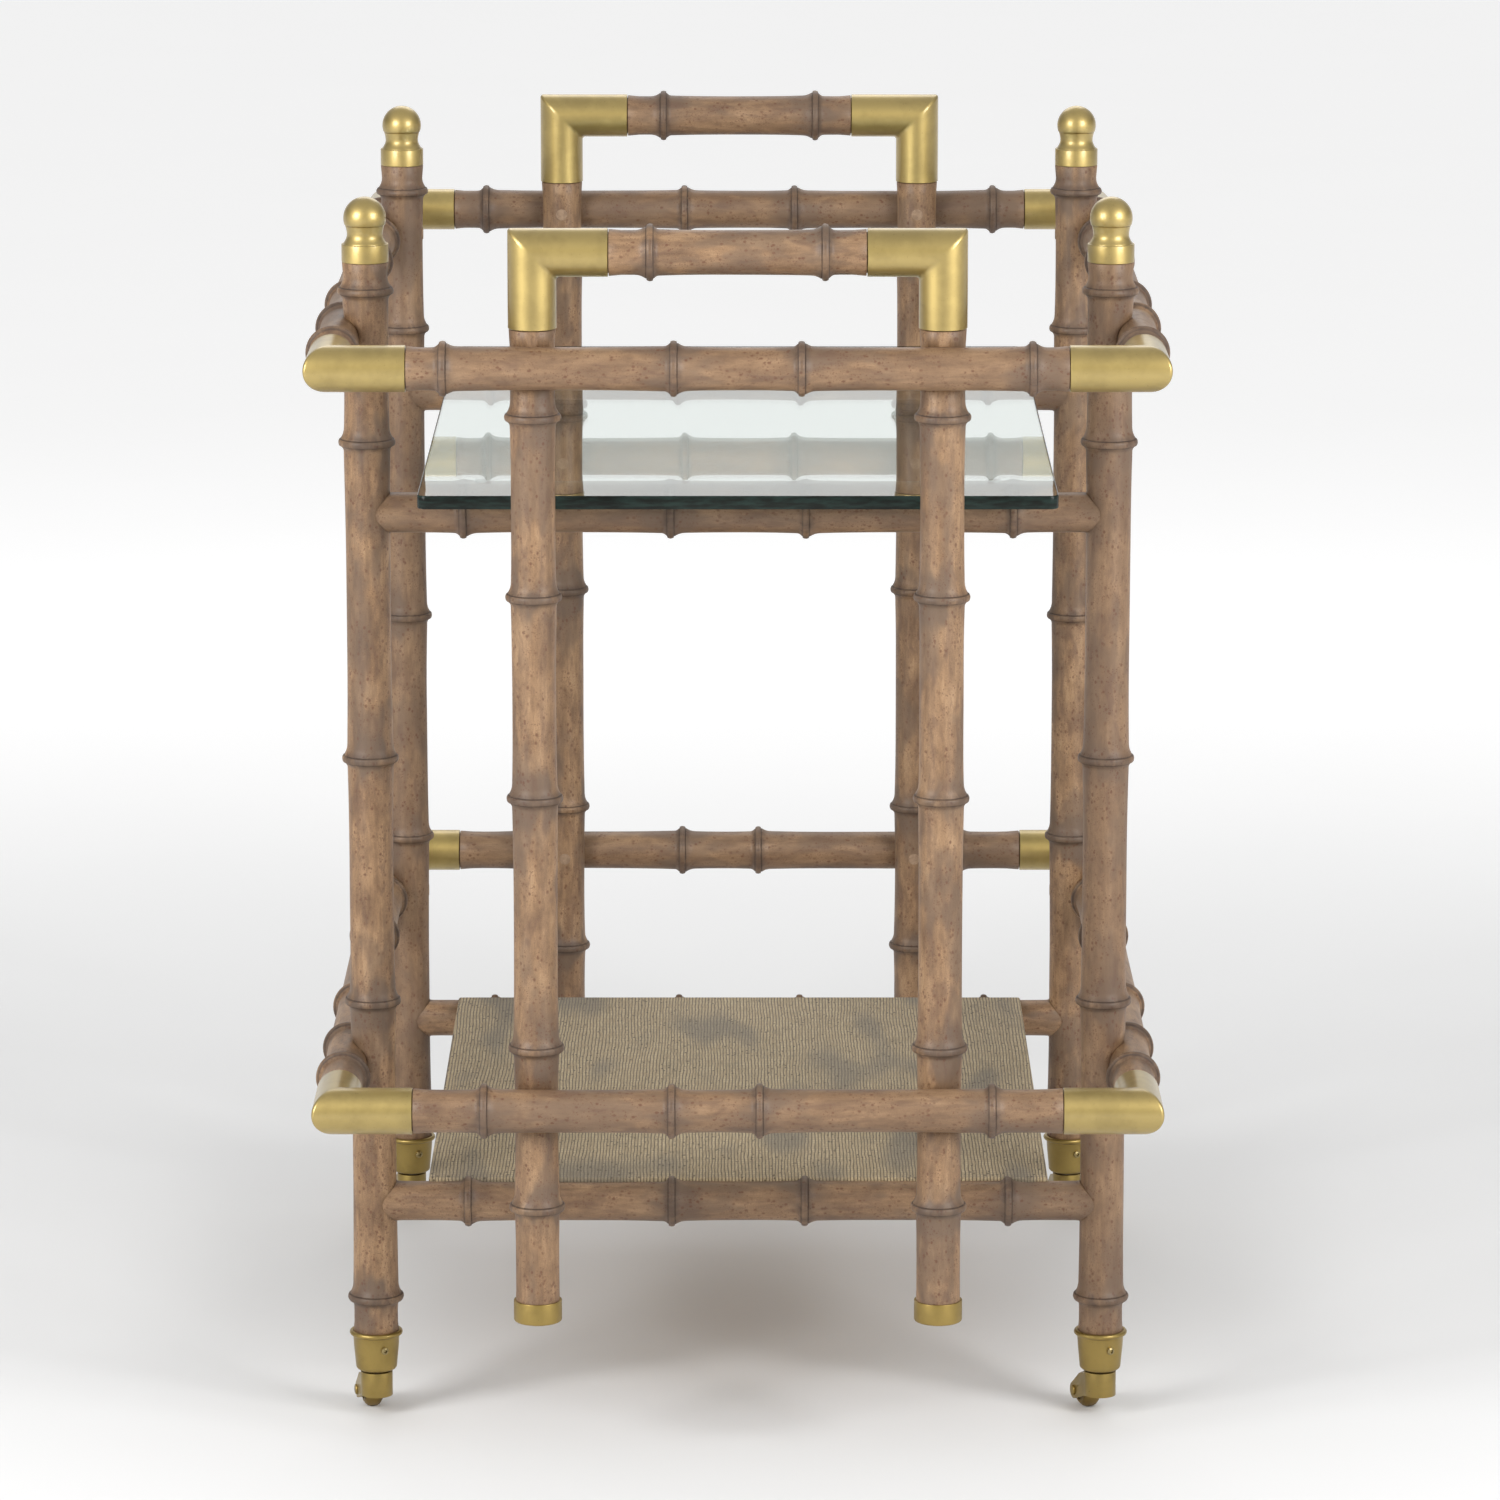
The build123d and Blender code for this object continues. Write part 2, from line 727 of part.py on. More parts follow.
# One caster in its own frame: swivel axis on Z, wheel trailing along +Y
half_slot = wheel_width / 2 + wheel_side_room
slope = radians(fork_back_slope)
with BuildPart() as fork:
    with BuildSketch(Plane.YZ.offset(-fork_half_width)):
        with BuildLine():
            Polyline(
                (0, collar_bottom),
                (0, collar_top - fork_crown_drop),
                (collar_radius, collar_top - fork_shoulder_drop),
                (trail + fork_boss_radius * cos(slope), wheel_radius + fork_boss_radius * sin(slope)),
                (trail, wheel_radius - fork_boss_radius),
                close=True,
            )
        make_face()
        with Locations((trail, wheel_radius)):
            Circle(fork_boss_radius)
    extrude(amount=2 * fork_half_width)
    with BuildSketch(Plane.XY.offset(collar_bottom)):
        Circle(collar_radius)
    extrude(amount=collar_top - collar_bottom)
    # Room for the wheel
    with Locations(Location((0, trail, wheel_radius), (0, 90, 0))):
        Cylinder(wheel_radius + wheel_room, 2 * half_slot, mode=Mode.SUBTRACT)
        Cylinder(axle_radius + press_gap, 4 * fork_half_width, mode=Mode.SUBTRACT)
    # Bore for the stem, with a wider room below for its head
    with Locations((0, 0, collar_bottom)):
        Cylinder(
            stem_radius + running_gap, collar_top,
            align=(Align.CENTER, Align.CENTER, Align.MIN), mode=Mode.SUBTRACT,
        )
        Cylinder(
            stem_head_radius + stem_head_room, stem_head_top + running_gap - collar_bottom,
            align=(Align.CENTER, Align.CENTER, Align.MIN), mode=Mode.SUBTRACT,
        )

with BuildPart() as axle:
    with Locations(Location((0, trail, wheel_radius), (0, 90, 0))):
        Cylinder(axle_radius, 2 * (fork_half_width + axle_head_height))
    for sx in (-1, 1):
        head = Vector(sx * fork_half_width, trail, wheel_radius)
        with BuildSketch(Plane(origin=head, z_dir=(sx, 0, 0))):
            Circle(axle_head_radius)
        extrude(amount=axle_head_height)

with BuildPart() as wheel:
    with Locations(Location((0, trail, wheel_radius), (0, 90, 0))):
        Cylinder(wheel_radius, wheel_width)
        fillet(wheel.edges(), wheel_edge)
    for sx in (-1, 1):
        rim = Vector(sx * wheel_width / 2, trail, wheel_radius)
        with BuildSketch(Plane(origin=rim, z_dir=(-sx, 0, 0))):
            Circle(wheel_dish_radius)
            Circle(hub_radius, mode=Mode.SUBTRACT)
        extrude(amount=wheel_dish_depth, mode=Mode.SUBTRACT)
    with Locations(Location((0, trail, wheel_radius), (0, 90, 0))):
        Cylinder(axle_radius + running_gap, 2 * wheel_width, mode=Mode.SUBTRACT)

for corner, (sx, sy) in CORNERS.items():
    place = Location((sx * post_x, sy * post_y, 0), (0, 0, swivel_angles[corner]))
    for name, piece in (("fork", fork), ("axle", axle), ("wheel", wheel)):
        with BuildPart() as placed:
            with Locations(place):
                add(piece.part)
        save(placed.part, f"caster_{name}_{corner}")

# ---- Fasteners ----
with BuildPart() as dowels:
    for height in (glass_rail_height, shelf_rail_height):
        for sx, sy in CORNERS.values():
            depth = post_radius - dowel_in_post + press_gap
            start = Vector(sx * (post_x - depth), sy * post_y, height)
            with BuildSketch(Plane(origin=start, z_dir=(-sx, 0, 0))):
                Circle(dowel_radius)
            extrude(amount=dowel_in_post + dowel_in_rail - 2 * press_gap)
save(dowels.part, "rail_dowels")

with BuildPart() as lap_screws:
    for corner in CORNERS:
        for name, face, outwards, depth, rail_radius, rail_axis in laps_of(corner):
            with BuildSketch(Plane(origin=face + outwards * plug_depth, z_dir=outwards)):
                Circle(screw_head_radius)
            extrude(amount=screw_head_height)
            with BuildSketch(Plane(origin=face + outwards * plug_depth, z_dir=outwards)):
                Circle(screw_radius)
            extrude(amount=depth + screw_bite - plug_depth)
save(lap_screws.part, "lap_screws")

with BuildPart() as plugs:
    for corner in CORNERS:
        for name, face, outwards, depth, rail_radius, rail_axis in laps_of(corner):
            with BuildSketch(Plane(origin=face + outwards * plug_recess, z_dir=outwards)):
                Circle(plug_radius)
            extrude(amount=plug_length)
save(plugs.part, "screw_plugs")

with BuildPart() as cup_screws:
    for x, y in post_places:
        seat = Vector(x, y, cup_screw_height) + cup_screw_way * cup_high_radius
        with BuildSketch(Plane(origin=seat, z_dir=cup_screw_way)):
            Circle(cup_screw_head_radius)
        extrude(amount=cup_screw_head_height)
        with BuildSketch(Plane(origin=seat, z_dir=cup_screw_way * -1)):
            Circle(cup_screw_radius)
        extrude(amount=cup_screw_length - press_gap)
save(cup_screws.part, "cup_screws")

with BuildPart() as shelf_screws:
    with BuildSketch(Plane.XY.offset(head_seat - screw_head_height)):
        with Locations(screw_places):
            Circle(screw_head_radius)
    extrude(amount=screw_head_height)
    with BuildSketch(Plane.XY.offset(head_seat)):
        with Locations(screw_places):
            Circle(screw_radius)
    extrude(amount=board_bottom + shelf_screw_bite - press_gap - head_seat)
save(shelf_screws.part, "shelf_screws")
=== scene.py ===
import json
import math

import bmesh
import bpy
import numpy as np
from mathutils import Matrix, Vector, noise


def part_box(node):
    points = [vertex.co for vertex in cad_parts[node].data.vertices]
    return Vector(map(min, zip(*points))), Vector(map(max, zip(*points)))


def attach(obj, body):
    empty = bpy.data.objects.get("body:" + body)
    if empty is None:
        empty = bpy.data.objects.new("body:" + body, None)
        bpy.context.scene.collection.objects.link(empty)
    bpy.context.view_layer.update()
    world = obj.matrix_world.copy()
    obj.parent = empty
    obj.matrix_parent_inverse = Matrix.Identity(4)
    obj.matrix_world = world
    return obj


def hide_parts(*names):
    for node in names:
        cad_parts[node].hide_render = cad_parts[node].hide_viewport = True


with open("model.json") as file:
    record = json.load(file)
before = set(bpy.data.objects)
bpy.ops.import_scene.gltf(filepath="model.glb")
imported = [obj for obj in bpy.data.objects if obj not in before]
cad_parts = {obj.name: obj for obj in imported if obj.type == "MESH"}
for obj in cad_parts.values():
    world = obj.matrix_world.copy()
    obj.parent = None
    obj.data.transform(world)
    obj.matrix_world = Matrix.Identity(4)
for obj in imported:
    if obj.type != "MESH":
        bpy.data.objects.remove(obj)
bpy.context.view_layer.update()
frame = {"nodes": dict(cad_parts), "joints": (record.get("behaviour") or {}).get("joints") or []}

MM = 0.001
SIDES = ("left", "right")
ENDS = ("near", "far")
RINGS = ("gallery", "stretcher")
CORNERS = [f"{side}_{end}" for side in SIDES for end in ENDS]

# Bamboo rings on the turned rods
RING_RISE = 3.6 * MM            # top of the bead above the rod
FLARE_RISE = 2.5 * MM
BEAD_HALF = 2.3 * MM
LONG_FLARE = 8.0 * MM
SHORT_FLARE = 4.0 * MM
GROOVE_DEPTH = 0.55 * MM
WAIST = 0.85 * MM               # how much thinner a rod is half way between two rings
SEAM = 0.55 * MM                # gap between a brass mouth and a wooden shoulder
FINIAL_RISE = 2.4 * MM          # the finials' lower edge above that of their CAD solids
ELBOW_WALL = 2.0 * MM
ELBOW_ROUNDING = 2.2 * MM       # softening of the mitre
ELBOW_SIDES = 56
TENON = 12.0 * MM               # length of a tenon
RING_TENON = 13.5 * MM          # radius of the tenons in the rings' elbows
HANDLE_TENON = 14.0 * MM        # radius of the tenons in the handles' elbows
EDGE = 0.35 * MM                # softened edge of turned ends
ROD_SIDES = 44
ROD_STEP = 11.0 * MM            # longest run of a rod between two cross-sections
CLOTH_WRAP = 0.8 * MM
CLOTH_FOLD = 1.6 * MM           # outside radius of the cloth's folds
CLOTH_HEM = 45.0 * MM
STRAND, THREAD = 2.4 * MM, 5.2 * MM     # pitch of the cloth's strands and cross threads
# How much darker some rods took the stain, from -1 to 1; the others vary at random
DARKER_STAIN = {
    "post_left_near": -1.0, "post_right_near": 0.9, "handle_leg_left_near": -0.4,
    "handle_leg_right_near": -0.5, "gallery_rail_near": 0.8, "gallery_rail_far": 1.0,
    "stretcher_rail_near": 0.8, "stretcher_rail_far": 0.8, "glass_rail_near": 1.0,
    "shelf_rail_near": 0.3, "handle_grip_near": -0.3,
}


# ---- Meshes ----

def new_object(name, points, faces, smooth=True):
    """Closed mesh object from points in metres in the shared frame."""
    mesh = bpy.data.meshes.new(name)
    mesh.from_pydata([tuple(p) for p in points], [], faces)
    mesh.update()
    if smooth:
        mesh.polygons.foreach_set("use_smooth", [True] * len(mesh.polygons))
    obj = bpy.data.objects.new(name, mesh)
    bpy.context.scene.collection.objects.link(obj)
    return obj


def tube_faces(rows, sides, first=0):
    """Quads between rows of points that each run once around, ends left open."""
    faces = []
    for row in range(rows - 1):
        for side in range(sides):
            a = first + row * sides + side
            b = first + row * sides + (side + 1) % sides
            faces.append((a, b, b + sides, a + sides))
    return faces


def give_attribute(obj, name, values, kind="FLOAT"):
    made = obj.data.attributes.new(name, kind, "POINT")
    made.data.foreach_set("vector" if kind == "FLOAT_VECTOR" else "value", np.ravel(values))


def crisp(obj, degrees=35):
    """Edges sharper than this keep a hard line; the rest shade smoothly."""
    limit = math.radians(degrees)
    mesh = obj.data
    normals = [Vector(p.normal) for p in mesh.polygons]
    owners = {}
    for index, polygon in enumerate(mesh.polygons):
        for key in polygon.edge_keys:
            owners.setdefault(key, []).append(index)
    for edge in mesh.edges:
        pair = owners.get(edge.key, [])
        if len(pair) == 2 and normals[pair[0]].angle(normals[pair[1]], 0) > limit:
            edge.use_edge_sharp = True


def lathe(profile, places, sides=64):
    """Points and faces of a turned profile of (radius, height), once for each place.

    The profile starts and ends on the axis.
    """
    points, faces = [], []
    turns = [2 * math.pi * i / sides for i in range(sides)]
    for place in places:
        base = len(points)
        points.append(Vector(place) + Vector((0, 0, profile[0][1])))
        for radius, height in profile[1:-1]:
            for turn in turns:
                offset = Vector((radius * math.cos(turn), radius * math.sin(turn), height))
                points.append(Vector(place) + offset)
        points.append(Vector(place) + Vector((0, 0, profile[-1][1])))
        rows = len(profile) - 2
        faces += tube_faces(rows, sides, base + 1)
        last = len(points) - 1
        start = base + 1 + (rows - 1) * sides
        for side in range(sides):
            after = (side + 1) % sides
            faces.append((base, base + 1 + after, base + 1 + side))
            faces.append((last, start + side, start + after))
    return points, faces


def arc(centre, radius, start, end, steps):
    """Points of (radius, height) on a circle, between two angles in degrees."""
    turns = [math.radians(start + (end - start) * i / steps) for i in range(steps + 1)]
    return [(centre[0] + radius * math.cos(t), centre[1] + radius * math.sin(t)) for t in turns]


# ---- Turned rods ----

def ring_shape(gap):
    """Height above the rod at a distance from a ring's middle; the long flare is on the + side."""
    distance = abs(gap)
    if distance < BEAD_HALF:
        crown = math.sqrt(1 - (distance / BEAD_HALF) ** 2 * 0.9)
        return FLARE_RISE + (RING_RISE - FLARE_RISE) * crown
    flare = LONG_FLARE if gap > 0 else SHORT_FLARE
    reach = (distance - BEAD_HALF) / flare
    if reach >= 1:
        return 0.0
    groove = GROOVE_DEPTH * math.exp(-((distance - BEAD_HALF) / (0.45 * MM)) ** 2)
    return FLARE_RISE * (1 - reach) ** 2.2 - groove


# Cross-sections to either side of a ring's middle, in millimetres
RING_STEPS = [0.0, 0.8, 1.4, 1.85, 2.15, 2.3, 2.45, 2.7, 3.1, 3.7, 4.5, 5.5, 6.6, 8.2, 10.3]


def read_rod(node, along):
    """Centre line, ring radius and ring stations of a turned rod, from its CAD corners."""
    low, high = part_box(node)
    across = [axis for axis in range(3) if axis != along]
    ring_radius = max(high[axis] - low[axis] for axis in across) / 2
    centre = (low + high) / 2
    if along != 2:
        centre.z = low.z + ring_radius
    centre[along] = 0
    corners = np.array([v.co for v in frame["nodes"][node].data.vertices])
    offsets = corners - np.array(centre)
    reach = np.hypot(offsets[:, across[0]], offsets[:, across[1]])
    found = sorted(corners[reach > ring_radius - 0.3 * MM, along])
    stations, group = [], [found[0]]
    for value in found[1:]:
        if value - group[-1] > 10 * MM:
            stations.append(sum(group) / len(group))
            group = []
        group.append(value)
    stations.append(sum(group) / len(group))
    return centre, ring_radius - RING_RISE, stations


def rod_places(start, end, stations):
    """Where the rod's cross-sections go: close together at the rings, far apart between."""
    places = {start, start + EDGE, end - EDGE, end}
    for station in stations:
        for step in RING_STEPS:
            places |= {station - step * MM, station + step * MM}
    knots = sorted(place for place in places if start <= place <= end)
    filled = [knots[0]]
    for place in knots[1:]:
        before = filled[-1]
        count = int((place - before) / ROD_STEP)
        for i in range(count):
            filled.append(before + (place - before) * (i + 1) / (count + 1))
        if place - filled[-1] > 0.02 * MM:
            filled.append(place)
    return filled


def turned_rod(name, node, along, start, end, tenons, flip, shape=None):
    """A rod with bamboo rings, slightly uneven as hand-turned wood is.

    tenons are the radii of the round tenons at its start and end, or 0. flip is -1 where the
    long flares point towards the start. shape moves the finished points, as for a notch.
    """
    centre, radius, stations = read_rod(node, along)
    seed = sum(ord(letter) * (i + 3) for i, letter in enumerate(node)) % 997 * 0.37
    bounds = [start] + stations + [end]
    rows = []
    # Tenon rows carry a gap of 0, so the wood colour darkens them as at a bead; through the seam
    # at each brass mouth they show as a line of painted shade
    if tenons[0]:
        rows += [(start - TENON, tenons[0], 0), (start, tenons[0], 0)]
    for place in rod_places(start, end, stations):
        nearest = min(stations, key=lambda station: abs(place - station))
        gap = (place - nearest) * flip
        after = next((i for i, bound in enumerate(bounds) if bound > place), len(bounds) - 1)
        middle = (bounds[after - 1] + bounds[after]) / 2
        half = (bounds[after] - bounds[after - 1]) / 2
        swell = WAIST * (abs(place - middle) / half) ** 3 - WAIST * 0.3
        uneven = 0.16 * MM * noise.noise(Vector((place * 21, seed, 0)))
        own = radius + swell + uneven + ring_shape(gap)
        if place == start or place == end:
            own -= EDGE
        rows.append((place, own, gap))
    if tenons[1]:
        rows += [(end, tenons[1], 0), (end + TENON, tenons[1], 0)]

    across = [axis for axis in range(3) if axis != along]
    points, local, gaps = [], [], []
    for place, own, gap in rows:
        fade = min(1.0, (place - start) / (60 * MM), (end - place) / (60 * MM))
        sway = 0.35 * MM * max(0.0, fade)
        shift = [sway * noise.noise(Vector((place * 5, seed, axis * 9.0))) for axis in (1, 2)]
        for side in range(ROD_SIDES):
            turn = 2 * math.pi * side / ROD_SIDES
            lumps = Vector((math.cos(turn) * 1.3, math.sin(turn) * 1.3, place * 16 + seed))
            r = own + 0.12 * MM * noise.noise(lumps)
            point = Vector(centre)
            point[along] = place
            point[across[0]] += r * math.cos(turn) + shift[0]
            point[across[1]] += r * math.sin(turn) + shift[1]
            points.append(point)
            local.append((r * math.cos(turn), r * math.sin(turn) + seed, place * flip + seed))
            gaps.append(min(abs(gap) / MM, 60.0))
    if shape:
        points = shape(points)
    count = len(rows)
    faces = tube_faces(count, ROD_SIDES)
    faces.append(tuple(reversed(range(ROD_SIDES))))
    faces.append(tuple(range((count - 1) * ROD_SIDES, count * ROD_SIDES)))
    if along == 1:
        faces = [tuple(reversed(face)) for face in faces]
    obj = new_object(name, points, faces)
    crisp(obj, 50)
    give_attribute(obj, "rod", local, "FLOAT_VECTOR")
    give_attribute(obj, "gap", gaps)
    tone = DARKER_STAIN.get(node, noise.noise(Vector((seed, 4.2, 1.7))) * 1.4)
    give_attribute(obj, "tone", [tone] * len(points))
    obj.data.materials.append(bamboo_wood)
    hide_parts(node)
    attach(obj, "frame")
    return obj


def notched(points, rails, along):
    """Move points that are inside a round rail out to just clear of it."""
    for centre, rail_radius, _ in rails:
        radius = rail_radius + 0.1 * MM
        moved = []
        for point in points:
            offset = point - centre
            offset[along] = 0
            if offset.length < radius:
                point = point + offset.normalized() * (radius - offset.length)
            moved.append(point)
        points = moved
    return points


# ---- Shader building ----

class Wire:
    """An output of a material's node; arithmetic on it adds Math nodes."""

    def __init__(self, finish, socket):
        self.finish = finish
        self.socket = socket

    def output(self, name):
        """Another output of the same node."""
        return Wire(self.finish, self.socket.node.outputs[name])

    def math(self, operation, *others, first=None):
        values = [self, *others] if first is None else [first, self]
        return self.finish.add("Math", {"operation": operation}, dict(enumerate(values)))

    def __add__(self, other):
        return self.math("ADD", other)

    def __sub__(self, other):
        return self.math("SUBTRACT", other)

    def __mul__(self, other):
        return self.math("MULTIPLY", other)

    def __rsub__(self, other):
        return self.math("SUBTRACT", first=other)

    def __abs__(self):
        return self.math("ABSOLUTE")

    __radd__ = __add__
    __rmul__ = __mul__

    def between(self, low, high):
        """0 below low, 1 above high, smooth between; low may be the larger."""
        inputs = {"Value": self, "From Min": low, "From Max": high, "To Min": 0.0, "To Max": 1.0}
        return self.finish.add("MapRange", {"interpolation_type": "SMOOTHSTEP"}, inputs)

    def at_least(self, other):
        return self.math("MAXIMUM", other)

    def clipped(self):
        return self.at_least(0.0).math("MINIMUM", 1.0)

    def wave(self, pitch):
        """Ridges of that pitch, from 0 to 1."""
        return (self * (2 * math.pi / pitch)).math("SINE") * 0.5 + 0.5


class Finish:
    """A material built round one Principled shader."""

    def __init__(self, name):
        self.material = bpy.data.materials.new(name)
        self.material.use_nodes = True
        self.tree = self.material.node_tree
        self.shader = self.tree.nodes["Principled BSDF"]

    def add(self, kind, settings=None, inputs=None, out=0):
        """One node: its settings first, then the values or links of its sockets."""
        node = self.tree.nodes.new("ShaderNode" + kind)
        for key, value in (settings or {}).items():
            if key == "stops":
                ramp = node.color_ramp.elements
                for position, colour in value[2:]:
                    ramp.new(position)
                for element, (position, colour) in zip(ramp, sorted(value)):
                    element.position = position
                    element.color = (*colour, 1)
            else:
                setattr(node, key, value)
        for key, value in (inputs or {}).items():
            self.join(value, node.inputs[key])
        return Wire(self, node.outputs[out])

    def join(self, value, socket):
        if isinstance(value, Wire):
            self.tree.links.new(value.socket, socket)
        elif socket.type == "RGBA" and len(value) == 3:
            socket.default_value = (*value, 1)
        else:
            socket.default_value = value

    def mix(self, share, one, other):
        """Colour one turning into the other as share goes from 0 to 1."""
        return self.add("Mix", {"data_type": "RGBA"}, {0: share, 6: one, 7: other}, 2)

    def noise(self, vector, scale, detail=3.0, roughness=0.5, distortion=0.0):
        inputs = {
            "Vector": vector, "Scale": scale, "Detail": detail,
            "Roughness": roughness, "Distortion": distortion,
        }
        return self.add("TexNoise", {"noise_dimensions": "3D"}, inputs)

    def cells(self, vector, scale):
        """Distance from the nearest of many scattered points."""
        inputs = {"Vector": vector, "Scale": scale}
        return self.add("TexVoronoi", {"feature": "F1"}, inputs, "Distance")

    def stretched(self, vector, scale):
        return self.add("Mapping", {}, {"Vector": vector, "Scale": scale})

    def bump(self, height, strength, distance):
        inputs = {"Height": height, "Strength": strength, "Distance": distance}
        return self.add("Bump", {}, inputs)

    def set(self, **sockets):
        for name, value in sockets.items():
            self.join(value, self.shader.inputs[name.replace("_", " ")])
        return self.material


def make_bamboo_wood():
    """Stained, glazed and lacquered turned wood; grain runs along each rod."""
    wood = Finish("bamboo_wood")
    place = wood.add("Attribute", {"attribute_name": "rod"}, out="Vector")
    distance = wood.add("Attribute", {"attribute_name": "gap"}, out="Fac")
    tone = wood.add("Attribute", {"attribute_name": "tone"}, out="Fac")

    long_grain = wood.noise(wood.stretched(place, (1, 1, 0.13)), 330, 4, 0.60, 0.3)
    broad = wood.noise(wood.stretched(place, (1, 1, 0.45)), 62, 3, 0.6, 0.3)
    cloud = wood.noise(wood.stretched(place, (1, 1, 0.45)), 30, 3, 0.6)
    smear = wood.noise(wood.stretched(place, (1, 1, 0.30)), 120, 3, 0.6, 0.6)
    fleck = wood.noise(wood.stretched(place, (1, 1, 0.22)), 900, 2, 0.6)
    fine = wood.noise(place, 2200, 2, 0.6)
    stain = wood.add("ValToRGB", {"stops": [
        (0.37, (0.108, 0.057, 0.028)),
        (0.44, (0.188, 0.107, 0.054)),
        (0.53, (0.282, 0.166, 0.084)),
        (0.62, (0.398, 0.250, 0.135)),
    ]}, {"Fac": broad * 0.44 + long_grain * 0.26 + fine * 0.30})
    # Mauve-grey glaze, thickest beside the rings and in long clouds
    near_ring = distance.between(26.0, 4.0)
    glaze = cloud.between(0.48, 0.60) * 0.66 + near_ring * cloud.between(0.36, 0.58) * 0.80
    glaze = glaze.clipped()
    glazed = wood.mix(glaze * 0.84, stain, (0.114, 0.077, 0.053))
    toned = wood.mix((tone * 0.5 + 0.5).clipped() * 0.50, glazed, (0.165, 0.102, 0.062))
    smeared = wood.mix(smear.between(0.52, 0.70) * 0.50, toned, (0.120, 0.066, 0.042))
    # Short dark fibres, pits and smaller dots
    fibres = wood.mix(fleck.between(0.56, 0.72) * 0.38, smeared, (0.120, 0.064, 0.036))
    chance = wood.noise(place, 90, 2)
    pits = wood.cells(wood.stretched(place, (1, 1, 0.75)), 250)
    pit = pits.between(0.32, 0.14) * chance.between(0.38, 0.50)
    dot = wood.cells(place, 520).between(0.34, 0.20) * chance.between(0.46, 0.54)
    specks = (pit + dot * 0.8).clipped() * (long_grain.between(0.30, 0.60) * 0.45 + 0.35)
    pitted = wood.mix(specks, fibres, (0.112, 0.044, 0.020))
    # Painted shade in the grooves beside each bead and in the hollows of the flares next to it,
    # patchy in strength, and a darker stain on the bead itself
    patchy_shade_and_stain = smear.between(0.36, 0.60)
    groove = abs(distance - 2.5).between(0.80, 0.15) * (patchy_shade_and_stain * 0.30 + 0.62)
    hollow = distance.between(7.0, 2.8) * (patchy_shade_and_stain * 0.35 + 0.15)
    bead = distance.between(2.5, 1.4)
    shade = groove.at_least(hollow).at_least(bead * (0.08 + patchy_shade_and_stain * 0.34))
    # Mix in the dark colour of that painted shade and bead stain
    colour = wood.mix(shade, pitted, (0.062, 0.040, 0.029))

    relief = long_grain * 0.55 + fleck * 0.25 - pit * 0.9
    normal = wood.bump(relief, 0.40, 0.35 * MM)
    rough = 0.42 + long_grain * 0.16 + groove * 0.25 + glaze * 0.08
    return wood.set(Base_Color=colour, Roughness=rough, Normal=normal, Coat_Weight=0.10,
                    Coat_Roughness=0.34, IOR=1.45)


def make_satin_brass(name, colour, dull, lacquer=0.0):
    """Satin brass with fine polishing lines and a little tarnish, under thin lacquer."""
    brass = Finish(name)
    place = brass.add("TexCoord", {}, out="Object")
    lines = brass.noise(place, 2600, 2, 0.5)
    cloud = brass.noise(place, 45, 3, 0.6)
    speck = brass.noise(place, 700, 2, 0.6)
    dark = tuple(value * 0.72 for value in colour)
    shade = brass.mix(cloud.between(0.38, 0.68) * 0.55, colour, dark)
    spotted = brass.mix(speck.between(0.66, 0.76) * 0.45, shade, tuple(v * 0.42 for v in colour))
    rough = dull + cloud * 0.10 + lines * 0.08
    normal = brass.bump(lines * 0.5 + speck * 0.3, 0.10, 0.10 * MM)
    return brass.set(Base_Color=spotted, Metallic=1.0, Roughness=rough, Normal=normal,
                     Coat_Weight=lacquer, Coat_Roughness=0.20, Coat_IOR=1.5)


def make_steel():
    steel = Finish("hidden_steel")
    place = steel.add("TexCoord", {}, out="Object")
    cloud = steel.noise(place, 400, 3, 0.6)
    colour = steel.mix(cloud, (0.36, 0.35, 0.33), (0.55, 0.54, 0.52))
    return steel.set(Base_Color=colour, Metallic=1.0, Roughness=0.3 + cloud * 0.2)


def make_plain_wood(name, dark, light):
    wood = Finish(name)
    place = wood.add("TexCoord", {}, out="Object")
    grain = wood.noise(wood.stretched(place, (1, 0.2, 1)), 260, 4, 0.6, 0.5)
    colour = wood.mix(grain.between(0.3, 0.7), dark, light)
    return wood.set(Base_Color=colour, Roughness=0.55 + grain * 0.2,
                    Normal=wood.bump(grain, 0.3, 0.2 * MM))


def make_clear_glass():
    glass = Finish("shelf_glass")
    place = glass.add("TexCoord", {}, out="Object")
    film = glass.noise(place, 9, 3, 0.6)
    return glass.set(Base_Color=(0.86, 0.94, 0.90), Transmission_Weight=1.0, IOR=1.5,
                     Roughness=film.between(0.45, 0.8) * 0.02)


# Opaque dark colour on the pane's edges: painted shade, in place of the light that real glass
# loses along its edges
def make_painted_dark_glass_edge():
    edge = Finish("shelf_glass_painted_dark_edge")
    place = edge.add("TexCoord", {}, out="Object")
    streak = edge.noise(edge.stretched(place, (1, 1, 6)), 60, 3, 0.6)
    colour = edge.mix(streak.between(0.35, 0.7), (0.010, 0.012, 0.010), (0.018, 0.030, 0.026))
    return edge.set(Base_Color=colour, Roughness=0.16 + streak * 0.10, IOR=1.22)


def make_clear_rubber():
    rubber = Finish("clear_bumper")
    place = rubber.add("TexCoord", {}, out="Object")
    cloud = rubber.noise(place, 500, 2)
    return rubber.set(Base_Color=rubber.mix(cloud, (0.62, 0.63, 0.60), (0.72, 0.73, 0.70)),
                      Roughness=0.3 + cloud * 0.2)


